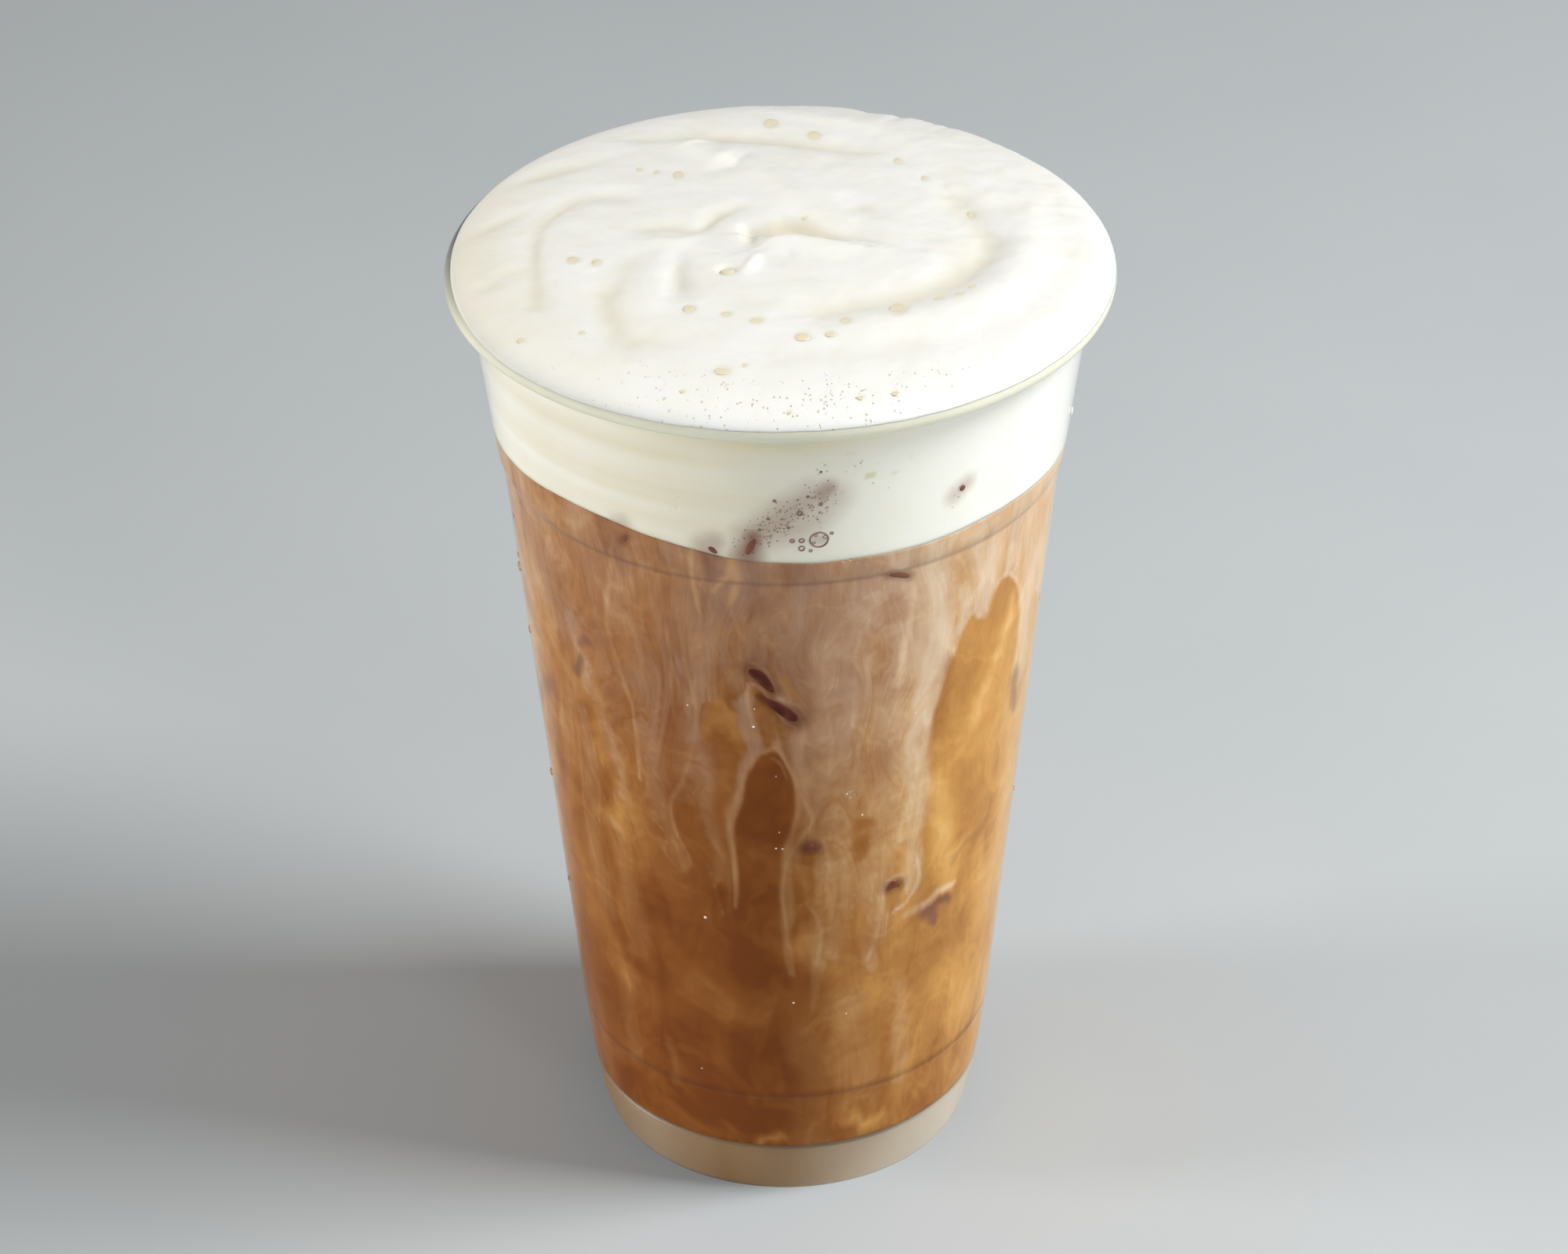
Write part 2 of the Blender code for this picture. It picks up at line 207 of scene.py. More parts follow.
# Golden and dark clouds in the coffee's glow: middle line, half widths, level, softness
CLOUDS = (
    ([(-7, 11.0), (-3, 11.2)], 1.2, 1.2, 0.58, 0.95),
    ([(20, 12.8), (27, 12)], 1.9, 1.5, 0.66, 0.95),
    ([(10, 12), (18, 11.5)], 1.6, 1.4, 0.2, 0.9),
    ([(-30, 16), (-5, 15), (0, 17)], 3.2, 3.0, 0.02, 0.9),
    ([(-60, 33), (-45, 31)], 4.0, 4.0, 0.1, 0.9),
    ([(-41, 74), (-43, 68)], 1.8, 1.8, 0.6, 0.9),
    ([(-66, 106), (-62, 98), (-56, 90)], 3.4, 3.4, 0.52, 0.95),
    ([(8, 50), (16, 44)], 3.6, 3.6, 0.56, 0.95),
    ([(-62, 62), (-60, 46)], 4.0, 4.4, 0.42, 0.95),
    ([(-52, 44), (-48, 38)], 2.2, 2.6, 0.4, 0.9),
    ([(-22, 44), (-16, 38)], 3.6, 3.0, 0.22, 0.9),
    ([(4, 42), (8, 36)], 2.4, 3.0, 0.3, 0.9),
    ([(40, 50), (50, 46), (42, 44)], 3.0, 3.5, 0.55, 0.9),
    ([(24, 32), (20, 28)], 3.0, 3.4, 0.5, 0.9),
    ([(38, 100), (37, 92), (36.6, 86)], 1.6, 1.8, 0.58, 0.9),
    ([(50, 107), (49.6, 99), (45, 91)], 3.8, 3.6, 0.64, 0.95),
    ([(60, 98), (59, 88), (54, 80)], 4.0, 4.4, 0.77, 0.95),
    ([(58.4, 104), (55.5, 96), (51, 90), (47.4, 86.4)], 1.0, 1.5, 0.88, 0.95),
    ([(37, 78), (40, 71), (43, 64), (45, 57.5)], 1.6, 2.4, 0.86, 0.8),
    ([(48, 76), (52, 68)], 3.0, 3.2, 0.62, 0.9),
    ([(66, 90), (73, 74), (76, 50)], 4.0, 5.0, 0.86, 0.9),
)
# Plumes of milk: middle line, half widths in mm at its ends, strength, softness
PLUMES = (
    ([(-51, 103), (-48.4, 94), (-44, 88), (-41.6, 82), (-40.6, 75)], 1.6, 0.9, 0.75, 0.8),
    ([(-51, 86), (-51.4, 76), (-53.6, 68), (-53.4, 60), (-52, 50)], 1.1, 1.9, 0.5, 0.9),
    ([(-44.4, 68), (-43.2, 61), (-41, 54), (-40.6, 44)], 1.0, 1.9, 0.42, 0.9),
    ([(-62, 118), (-61, 108), (-58, 102)], 3.6, 2.0, 0.5, 0.9),
    ([(-78, 120), (-76, 100), (-74, 84)], 4.6, 3.0, 0.4, 0.9),
    ([(-31, 86), (-30, 78), (-27.4, 72), (-24, 65)], 1.9, 0.9, 0.55, 0.85),
    ([(-18.6, 92), (-18, 82), (-16.8, 74), (-15.4, 64)], 1.8, 0.8, 0.62, 0.85),
    ([(-8.9, 98.4), (-8, 95.6), (-7, 92.4), (-6.6, 90.4)], 1.2, 1.3, 0.9, 0.6),
    ([(-7, 89.6), (-8.6, 86), (-9.9, 83), (-11, 79), (-12.2, 74), (-12.4, 69)], 1.1, 0.55, 0.9, 0.6),
    ([(9, 104), (9.6, 92), (8.6, 80), (8, 72), (9, 63)], 3.0, 1.6, 0.75, 0.7),
    ([(3, 92), (4.4, 86), (5.4, 80), (6, 76)], 1.4, 0.9, 0.9, 0.7),
    ([(3.4, 79), (4, 74.6), (3, 71)], 1.0, 0.9, 0.35, 0.9),
    ([(4.4, 73), (2.2, 70), (0.4, 66), (-0.1, 61), (0.6, 56), (1.2, 50), (1.6, 45)], 1.3, 0.5, 0.85, 0.5),
    ([(6.6, 66), (7.6, 58), (9, 52), (8, 46), (7.4, 40)], 1.1, 0.7, 0.6, 0.7),
    ([(14, 100), (14, 84), (13, 72), (12.6, 60), (12, 50)], 3.8, 1.4, 0.65, 0.8),
    ([(23, 100), (24, 84), (23.4, 70), (22.4, 60), (24, 54), (21.6, 46)], 3.8, 1.1, 0.66, 0.8),
    ([(31.6, 121), (31.5, 112), (33.4, 104), (33, 96), (31.4, 88), (31.8, 80), (32.2, 72), (32.4, 64),
      (32.4, 58.4)], 3.6, 1.15, 0.95, 0.5),
    ([(44, 121), (46.4, 114), (47.4, 109.4), (47.8, 105.6)], 3.4, 0.6, 0.9, 0.5),
    ([(40.6, 113), (41.2, 108.4), (40, 105.6)], 1.4, 0.7, 0.8, 0.6),
    ([(60, 122), (65, 110), (67, 98), (68, 88)], 4.4, 2.2, 0.7, 0.8),
    ([(6, 32), (5.6, 24), (5, 16), (4.6, 11)], 2.4, 2.4, 0.24, 0.9),
    ([(14, 38), (18, 28), (22, 20)], 2.6, 3.0, 0.3, 0.9),
    ([(-48, 34), (-48.6, 27), (-47.6, 21)], 1.7, 1.2, 0.45, 0.9),
    ([(-33, 28), (-32.4, 23), (-33, 19)], 0.7, 0.6, 0.3, 0.9),
    ([(31.4, 38), (32.4, 30), (33.4, 22), (32.6, 19)], 1.2, 0.8, 0.5, 0.9),
    ([(70, 80), (72, 60), (70, 44)], 4.0, 3.4, 0.15, 0.9),
)
# Thin strands of milk: middle line, half widths in mm at its ends, strength
STRANDS = (
    ([(-7.5, 100.7), (-6.1, 100.8), (-4.6, 100.1), (-3.1, 98.9), (-1.8, 97.2), (-0.9, 96), (0.6, 94.5),
      (2.6, 93.1)], 0.3, 0.24, 0.6),
    ([(-6.6, 104.9), (-3.9, 103.7), (-2.2, 101.5), (-0.9, 99.7), (1.3, 98.2), (3, 97.5), (4.4, 95.9)],
     0.3, 0.26, 0.55),
    ([(-7.7, 101.2), (-7.6, 98), (-6.9, 95.4), (-6.6, 93.4)], 0.26, 0.3, 0.5),
    ([(3.4, 96), (4, 93.4), (3.8, 90)], 0.3, 0.3, 0.5),
    ([(-12.2, 71), (-12.1, 68), (-12, 64.7), (-11.7, 61.8), (-11.8, 58.6)], 0.5, 0.35, 0.56),
    ([(-10.6, 81), (-11.8, 77), (-12.7, 73)], 0.35, 0.45, 0.55),
    ([(-7.8, 85.3), (-6, 87.7), (-3.8, 89.3), (-1.8, 89), (0, 87.4), (1.8, 85), (2.8, 82.6), (3.8, 80.4),
      (5.2, 78.4), (6.2, 76.6), (6, 74.8), (4.5, 73.2)], 0.24, 0.42, 0.5),
    ([(-2.8, 87.8), (-0.8, 86.2), (0.9, 83.6)], 0.2, 0.24, 0.3),
    ([(4.5, 73.2), (2.9, 71.2), (1, 68.4), (-0.5, 64.4), (-0.6, 60), (0.3, 55.6), (0.7, 51)],
     0.3, 0.3, 0.42),
    ([(5.1, 60), (8.2, 55.8), (8.9, 51.6), (7.8, 47.4)], 0.3, 0.3, 0.3),
    ([(9, 72), (10.6, 66), (9.8, 61.4)], 0.35, 0.3, 0.32),
    ([(24.2, 57.6), (24.8, 59.8), (26, 61.4), (28.3, 61.9), (30, 61), (31.2, 58.4)], 0.3, 0.3, 0.6),
    ([(33, 65), (33.9, 62), (34.6, 59.6), (33, 57), (30.4, 55.4), (28, 54.7)], 0.4, 0.4, 0.6),
    ([(24.2, 57.6), (24, 54), (22.8, 50), (21.2, 46.4)], 0.3, 0.4, 0.4),
    ([(27.6, 119.4), (27.5, 115.5), (27.2, 110.3), (26.3, 105.3), (25.3, 100.2), (24.9, 98.4)], 0.45, 0.62,
     1.15),
    ([(25.0, 99.2), (24.8, 98.2)], 0.8, 0.8, 0.8),
    ([(17.3, 122.9), (21, 121.5), (24.3, 120.5), (27.6, 119.6)], 0.42, 0.34, 0.6),
    ([(-34.4, 123.4), (-36.4, 119.4), (-38.4, 114), (-39.4, 109), (-39.2, 104), (-38, 100.6), (-36.4, 96),
      (-35, 92), (-34.6, 85), (-34.9, 79)], 0.42, 0.34, 0.44),
    ([(-21, 104.1), (-19.5, 97.9), (-19.5, 92), (-20.7, 87.2), (-23.8, 81.4), (-26.9, 76.1), (-25.9, 71),
      (-22.6, 65.5)], 0.26, 0.34, 0.34),
    ([(-17.5, 125.4), (-18.2, 122.6), (-17.8, 118), (-16.9, 113.6)], 0.5, 0.3, 0.7),
    ([(-16, 124.6), (-15.6, 121.4), (-16.6, 118.4)], 0.26, 0.2, 0.36),
    ([(-9.8, 125.2), (-10.2, 122), (-12, 119.4), (-14, 117.7)], 0.7, 0.34, 0.95),
    ([(-9.6, 123), (-9.2, 119.6), (-10.6, 115)], 0.8, 0.5, 0.8),
    ([(-11.4, 115.4), (-9.4, 112.4), (-8, 109.8)], 0.5, 0.3, 0.36),
    ([(-6, 118), (-4, 111), (-1, 107)], 0.5, 0.4, 0.25),
    ([(-30.2, 123.8), (-29.4, 118), (-30.4, 110), (-29.2, 104)], 0.3, 0.24, 0.26),
    ([(-25, 110), (-23.8, 104), (-24.8, 98), (-24, 92)], 0.26, 0.3, 0.26),
    ([(16, 110), (15, 98), (16, 88)], 0.34, 0.3, 0.3),
    ([(9, 110), (8.4, 101), (10.4, 92), (9.8, 84)], 0.36, 0.3, 0.32),
    ([(-54.4, 86), (-55, 76), (-56.4, 66), (-54.4, 58)], 0.36, 0.4, 0.26),
    ([(-48.6, 82), (-48.8, 74), (-50.6, 66)], 0.3, 0.3, 0.26),
    ([(62, 104.6), (63.8, 100), (64.4, 94), (63.6, 88)], 0.5, 0.4, 0.42),
    ([(50.2, 109.2), (52.2, 110.5), (55.4, 109.6), (60, 106.4), (62.2, 103)], 0.3, 0.4, 0.5),
    ([(41.4, 108.6), (43.8, 110), (45.6, 111.8), (45, 113.6)], 0.4, 0.3, 0.55),
    ([(31.6, 53.2), (37.2, 53.9), (41.8, 55.1), (46.8, 55.4)], 0.95, 0.7, 0.5),
)
# Grey-violet shade of ice further in: middle line, half widths in mm at its ends, strength, softness
SHADES = (
    ([(-46.4, 101.2), (-48.2, 99.4)], 1.0, 0.7, 0.7, 0.7),
    ([(-49.6, 97.2), (-52, 95)], 0.8, 1.1, 0.8, 0.7),
    ([(-66, 86), (-72, 83.4), (-80, 79)], 1.5, 1.8, 0.6, 0.9),
    ([(-69, 66.4), (-80, 61.6)], 1.1, 1.3, 0.5, 0.9),
    ([(65.4, 87), (67, 82)], 1.9, 1.5, 0.7, 0.95),
    ([(45.9, 60.4), (50.3, 61.7), (57.2, 62.7)], 0.7, 0.8, 0.4, 0.9),
    ([(38, 52.6), (41, 52.6), (44.6, 53.4)], 1.2, 1.0, 1.0, 0.8),
    ([(40.4, 52), (40.6, 50.6), (41, 48.6)], 1.3, 0.5, 0.9, 0.8),
    ([(-32.6, 124.4), (-34.4, 121.6), (-35, 118)], 1.2, 0.8, 0.4, 0.9),
    ([(-13.5, 125), (-13.4, 122.4), (-12.8, 121)], 1.6, 1.2, 0.45, 0.9),
    ([(-6.4, 125), (-6, 121), (-5, 116)], 1.5, 1.8, 0.36, 0.9),
    ([(-4, 105), (1, 102), (4, 98)], 1.8, 1.8, 0.22, 0.9),
    ([(5.4, 71), (6.6, 70.6)], 1.2, 1.2, 0.4, 0.9),
    ([(26, 60.4), (29, 60.4)], 0.9, 0.8, 0.45, 0.9),
)
# Edges of ice that touch the wall: middle line, half widths in mm at its ends, and how dark the coffee is
# round them. They stand out by a share of their width, and the dark is wider than they are.
ICE = (
    ([(-7.0, 104.1), (-5.2, 103.0), (-3.6, 101.6), (-2.0, 100.0)], 1.05, 0.7, 0.6),
    ([(-4.8, 99.2), (-2.2, 97.8), (0.4, 96.3), (2.9, 94.7)], 0.5, 1.15, 0.7),
    ([(4.9, 70.5), (7.2, 70.3)], 0.8, 0.7, 0.6),
    ([(25.6, 59.8), (27.4, 60.4), (29.1, 59.9)], 0.7, 0.7, 0.5),
    ([(21.6, 119.3), (23.9, 118.9), (26.3, 118.1)], 0.45, 0.6, 0.5),
    ([(-14.2, 126.0), (-12.6, 125.0)], 0.5, 0.4, 0.4),
    ([(-32.8, 123.6), (-31.6, 124.7)], 0.5, 0.4, 0.4),
    ([(-5.1, 128.2), (-5.9, 126.9), (-6.8, 125.2)], 0.4, 0.66, 0.6),
    ([(35.9, 131.9), (36.8, 131.2)], 0.5, 0.46, 0.4),
    ([(118.0, 94.0), (120.0, 89.0)], 0.9, 0.45, 0.6),
    ([(146.0, 64.4), (149.0, 63.6)], 0.5, 0.55, 0.5),
    ([(-162.0, 105.0), (-160.0, 101.0)], 0.85, 0.45, 0.6),
    ([(-128.0, 78.6), (-125.0, 77.6)], 0.5, 0.5, 0.5),
    ([(172.0, 116.0), (175.0, 115.0)], 0.5, 0.5, 0.4),
)
ICE_DEPTH = 0.3
ICE_HALO = 1.5
# Drops of water on the outside of the cup: turn, height, radius in mm
DROPS = (
    (15.2, 80.0, 0.8), (12.1, 123.6, 0.42), (13.0, 123.9, 0.3), (14.7, 123.0, 0.4), (16.5, 122.5, 0.34),
    (79.0, 128.6, 0.7), (-80.0, 101.7, 0.75), (-79.0, 104.2, 0.4), (-78.5, 91.0, 0.6), (-80.0, 64.1, 0.6),
    (-76.0, 112.4, 0.35), (78.0, 96.5, 0.45), (80.0, 60.3, 0.4), (-77.0, 45.0, 0.4), (104.0, 88.0, 0.7),
    (131.0, 112.0, 0.6), (-141.0, 96.0, 0.8), (-118.0, 58.0, 0.6), (166.0, 74.0, 0.7), (-172.0, 52.0, 0.5),
    (-104.0, 118.0, 0.5), (149.0, 46.0, 0.6),
)
# White specks on the coffee, painted glints: turn, height, radius in mm
SPECKS = (
    (-6.5, 93.5, 0.22), (-21.0, 96.0, 0.15), (-20.0, 55.5, 0.26), (-2.0, 70.5, 0.15), (-0.5, 70.4, 0.14),
    (-1.8, 84.3, 0.1), (2.0, 39.8, 0.17), (16.0, 36.5, 0.13), (-1.2, 73.6, 0.1), (-6.2, 96.8, 0.11),
    (18.1, 75.5, 0.16), (-24.0, 24.2, 0.12), (30.0, 92.4, 0.1), (112.0, 70.0, 0.2), (158.0, 99.0, 0.2),
    (-150.0, 66.0, 0.2), (-110.0, 88.0, 0.2),
)


def outer_wall():
    """The cup's outer side from just under the rim down to the heel, as (r, z)."""
    neck_foot = (SHOULDER_RADIUS + SHOULDER_STEP, SHOULDER_HEIGHT + SHOULDER_RISE)
    ring_foot = (LOW_RING_RADIUS - LOW_RING_STEP, LOW_RING_HEIGHT - LOW_RING_STEP)
    heel = (FOOT_RADIUS + 0.9 * MM, 2.2 * MM)
    toe = (FOOT_RADIUS + 0.35 * MM, 0.6 * MM)
    return [
        (NECK_TOP_RADIUS, NECK_TOP),
        neck_foot,
        (SHOULDER_RADIUS + 0.5 * SHOULDER_STEP, SHOULDER_HEIGHT + 0.35 * SHOULDER_RISE),
        (SHOULDER_RADIUS, SHOULDER_HEIGHT),
        (LOW_RING_RADIUS, LOW_RING_HEIGHT),
        *bowed(ring_foot, heel, BASE_BULGE, count=8),
        toe,
    ]


def bowed(start, end, bulge, count):
    """Points (r, z) from start to end, standing out by bulge halfway."""
    shares = [i / count for i in range(count + 1)]
    return [
        (
            start[0] + (end[0] - start[0]) * s + bulge * math.sin(math.pi * s),
            start[1] + (end[1] - start[1]) * s,
        )
        for s in shares
    ]


def arc(centre, radius, start, end, count):
    """Points (r, z) along a round stretch of an outline."""
    angles = [start + (end - start) * i / count for i in range(count + 1)]
    return [(centre[0] + radius * math.cos(a), centre[1] + radius * math.sin(a)) for a in angles]


def softened(points, reach):
    """The outline with each corner cut back by reach and rounded."""
    line = [Vector(p) for p in points]
    result = [line[0]]
    for before, corner, after in zip(line, line[1:], line[2:]):
        start = corner + (before - corner).normalized() * min(reach, (before - corner).length / 2)
        end = corner + (after - corner).normalized() * min(reach, (after - corner).length / 2)
        for share in (0.0, 0.33, 0.67, 1.0):
            result.append(start.lerp(corner, share).lerp(corner.lerp(end, share), share))
    return [tuple(p) for p in [*result, line[-1]]]


SOFT_WALL = softened(outer_wall(), CORNER_REACH)


def inner_radius(height):
    """The radius of the cup's inner side at one height or many."""
    rising = SOFT_WALL[::-1]
    return np.interp(height, [z for r, z in rising], [r for r, z in rising]) - WALL


def degree_at(height):
    """How many mm one degree spans on the wall at a height in mm."""
    return float(inner_radius(height * MM)) / MM * math.pi / 180


def bead_centre():
    """The centre (r, z) of the rolled rim."""
    return RIM_RADIUS - BEAD_RADIUS, HEIGHT - BEAD_RADIUS


def eased(low, high, values):
    """0 below low, 1 above high, and a smooth rise between them."""
    share = np.clip((values - low) / (high - low), 0.0, 1.0)
    return share * share * (3 - 2 * share)


def hump(values, middle, width, power=2):
    """1 where the values are the middle one, and a smooth fall to 0 over a few widths on each side."""
    return np.exp(-((np.abs(values - middle) / width) ** power))


def smooth_line(points):
    """An array of points along a smooth curve through a few given ones, by the Catmull-Rom rule."""
    given = [np.array(p, float) for p in points]
    ends = [2 * given[0] - given[1], *given, 2 * given[-1] - given[-2]]
    line = []
    for a, b, c, d in zip(ends, ends[1:], ends[2:], ends[3:]):
        for t in np.arange(LINE_SAMPLES) / LINE_SAMPLES:
            bend = (2 * a - 5 * b + 4 * c - d) * t * t + (3 * b - a - 3 * c + d) * t**3
            line.append(b + 0.5 * ((c - a) * t + bend))
    return np.array([*line, given[-1]])


def hills(turn, height, across, down, seed):
    """Smooth hills and hollows from -1 to 1, seamless round the cup, across degrees by down mm in size."""
    columns = max(3, round(360 / across))
    slopes = np.random.default_rng(seed).uniform(0, 2 * math.pi, (HILL_ROWS, columns))
    u, v = (turn / 360 + 0.5) * columns, height / down + HILL_SHIFT
    left, low = np.floor(u).astype(int), np.floor(v).astype(int)
    fu, fv = u - left, v - low

    def corner(i, j):
        angle = slopes[(low + j) % HILL_ROWS, (left + i) % columns]
        return np.cos(angle) * (fu - i) + np.sin(angle) * (fv - j)

    su, sv = (f**3 * (f * (6 * f - 15) + 10) for f in (fu, fv))
    lower = corner(0, 0) * (1 - su) + corner(1, 0) * su
    upper = corner(0, 1) * (1 - su) + corner(1, 1) * su
    return 1.5 * (lower * (1 - sv) + upper * sv)


def broken_hills(turn, height, across, down, seed, layers=4):
    """Hills with smaller hills on them."""
    return sum(
        hills(turn, height, across / 2**i, down / 2**i, seed + i) * LAYER_FADE**i for i in range(layers)
    )


def from_stretch(x, y, start, end):
    """How far along a straight stretch each spot lies, from 0 to 1, and its offset (x, y) from there."""
    way = end - start
    share = np.clip(((x - start[0]) * way[0] + (y - start[1]) * way[1]) / way.dot(way), 0, 1)
    return share, x - start[0] - share * way[0], y - start[1] - share * way[1]


def flattened(turn, height, points, margin):
    """The line and the spots near it laid flat in mm about the line's middle, and which spots they are."""
    line = smooth_line(points)
    middle = line.mean(axis=0)
    degree = degree_at(middle[1])
    x = ((turn - middle[0] + 180) % 360 - 180) * degree
    line[:, 0] = (line[:, 0] - middle[0]) * degree
    low, high = line.min(axis=0) - margin, line.max(axis=0) + margin
    near = (x > low[0]) & (x < high[0]) & (height > low[1]) & (height < high[1])
    return line, x[near], height[near], near


def nearness(turn, height, points, first_half, last_half, softness, pointed=0.0):
    """How far inside a stroke on the wall each spot lies: 1 along its middle line, 0 outside it."""
    line, x, z, near = flattened(turn, height, points, 2.2 * max(first_half, last_half))
    nearest = np.full(x.shape, FAR)
    for i, (a, b) in enumerate(zip(line, line[1:])):
        share, right, up = from_stretch(x, z, a, b)
        done = (i + share) / (len(line) - 1)
        half = first_half + (last_half - first_half) * done
        half = half * (1 - pointed * (1 - np.sin(math.pi * (0.04 + 0.92 * done)) ** 0.6))
        nearest = np.minimum(nearest, np.hypot(right, up) / half)
    result = np.zeros(turn.shape)
    result[near] = 1 - eased(1 - softness, 1 + softness, nearest)
    return result


def clearing(turn, height, outline, top_softness, foot_softness):
    """How far inside a closed outline on the wall each spot lies, and how near its upper edge it is."""
    line, x, z, near = flattened(turn, height, [*outline, outline[0]], 6.0)
    nearest, inside = np.full(x.shape, FAR), np.zeros(x.shape, bool)
    for a, b in zip(line, line[1:]):
        nearest = np.minimum(nearest, np.hypot(*from_stretch(x, z, a, b)[1:]))
        along = b - a
        crossed = a[0] + (z - a[1]) * along[0] / (along[1] if along[1] else 1.0)
        inside ^= ((a[1] > z) != (b[1] > z)) & (x < crossed)
    lift = eased(0.15, 0.75, (z - line[:, 1].min()) / np.ptp(line[:, 1]))
    soft = foot_softness + (top_softness - foot_softness) * lift
    within = np.where(inside, nearest, -nearest)
    clear, edge = np.zeros(turn.shape), np.zeros(turn.shape)
    clear[near] = eased(-soft, soft, within)
    edge[near] = lift * hump(within, -0.5, 0.5)
    return clear, edge


def stirred(turn, height, eddies):
    """The places that slow eddies bring to each spot of the wall: its turn and height traced back."""
    for across, down, reach, seed in eddies:
        for _ in range(STIR_STEPS):
            here = hills(turn, height, across, down, seed)
            upward = 10 * (hills(turn, height + 0.1 * down, across, down, seed) - here)
            sideways = 10 * (hills(turn + 0.1 * across, height, across, down, seed) - here)
            turn = turn + upward * reach / STIR_STEPS / DEGREE
            height = height - sideways * reach * down / (across * DEGREE) / STIR_STEPS
    return turn, height


def foam_line(turn):
    """The height of the line between coffee and foam on the wall."""
    keyed = np.interp(turn, FOAM_LINE_TURNS, FOAM_LINE_HEIGHTS)
    around = (
        np.interp((turn + step + 180) % 360 - 180, FOAM_LINE_TURNS, FOAM_LINE_HEIGHTS)
        for step in (-LINE_BLUR, LINE_BLUR)
    )
    ripple = LINE_RIPPLE * hills(turn, 0 * turn, across=7, down=10, seed=31)
    return (0.5 * keyed + 0.25 * sum(around) + ripple) * MM


def turned(outline, steps):
    """A closed form: the outline (r, z) spun once about Z, with its seam and poles merged."""
    form = bmesh.new()
    points = [form.verts.new((r, 0.0, z)) for r, z in outline]
    edges = [form.edges.new(pair) for pair in zip(points, points[1:])]
    bmesh.ops.spin(
        form,
        geom=[*points, *edges],
        cent=(0, 0, 0),
        axis=(0, 0, 1),
        dvec=(0, 0, 0),
        angle=2 * math.pi,
        steps=steps,
        use_merge=True,
    )
    bmesh.ops.remove_doubles(form, verts=form.verts, dist=0.001 * MM)
    bmesh.ops.recalc_face_normals(form, faces=form.faces)
    return form


def piece_from(name, form, *materials):
    """A smooth-shaded object made from a finished bmesh."""
    mesh = bpy.data.meshes.new(name)
    form.to_mesh(mesh)
    form.free()
    mesh.shade_smooth()
    for material in materials:
        mesh.materials.append(material)
    piece = bpy.data.objects.new(name, mesh)
    bpy.context.scene.collection.objects.link(piece)
    return piece


def spots_of(piece):
    """The points of a piece as turn in degrees, radius and height."""
    spots = np.zeros(len(piece.data.vertices) * 3)
    piece.data.vertices.foreach_get("co", spots)
    x, y, z = spots.reshape(-1, 3).T
    return np.degrees(np.arctan2(x, -y)), np.hypot(x, y), z


def move_spots(piece, turn, radius, height):
    """Puts the points of a piece at these turns, radii and heights."""
    angle = np.radians(turn)
    spots = np.stack([radius * np.sin(angle), -radius * np.cos(angle), height], axis=1)
    piece.data.vertices.foreach_set("co", spots.ravel())
    piece.data.update()


def keep_mask(piece, name, values):
    """Stores one number for each point of a piece under a name that its material reads."""
    mask = piece.data.attributes.new(name, "FLOAT", "POINT")
    mask.data.foreach_set("value", np.clip(values, 0.0, 1.0).astype(np.float32))


def tone(red, green, blue):
    """A colour as a screen shows it, from 0 to 255, made linear for a shader."""
    def linear(value):
        share = value / 255
        return share / 12.92 if share < 0.04045 else ((share + 0.055) / 1.055) ** 2.4

    return linear(red), linear(green), linear(blue), 1.0


class Wire:
    """A number inside a shader. Python's operators on it add the Math nodes that work it out."""

    def __init__(self, finish, socket):
        self.finish = finish
        self.socket = socket

    def maths(self, operation, *values):
        return self.finish.add("ShaderNodeMath", {"operation": operation}, dict(enumerate(values)))

    def __add__(self, other):
        return self.maths("ADD", self, other)

    def __sub__(self, other):
        return self.maths("SUBTRACT", self, other)

    def __rsub__(self, other):
        return self.maths("SUBTRACT", other, self)

    def __mul__(self, other):
        return self.maths("MULTIPLY", self, other)

    def __truediv__(self, other):
        return self.maths("DIVIDE", self, other)

    def __abs__(self):
        return self.maths("ABSOLUTE", self)

    __radd__ = __add__
    __rmul__ = __mul__

    def held(self):
        """The number kept between 0 and 1."""
        return self.finish.add("ShaderNodeClamp", {}, {"Value": self})

    def rise(self, low, high):
        """0 where the number is below low, 1 above high and a smooth rise between them."""
        settings = {"interpolation_type": "SMOOTHSTEP"}
        inputs = {"Value": self, "From Min": low, "From Max": high}
        return self.finish.add("ShaderNodeMapRange", settings, inputs)

    def larger(self, other):
        return self.maths("MAXIMUM", self, other)

    def line_at(self, value, half):
        """1 where the number is the value, down to 0 where it is half away from it."""
        return (1 - abs(self - value) / half).held()


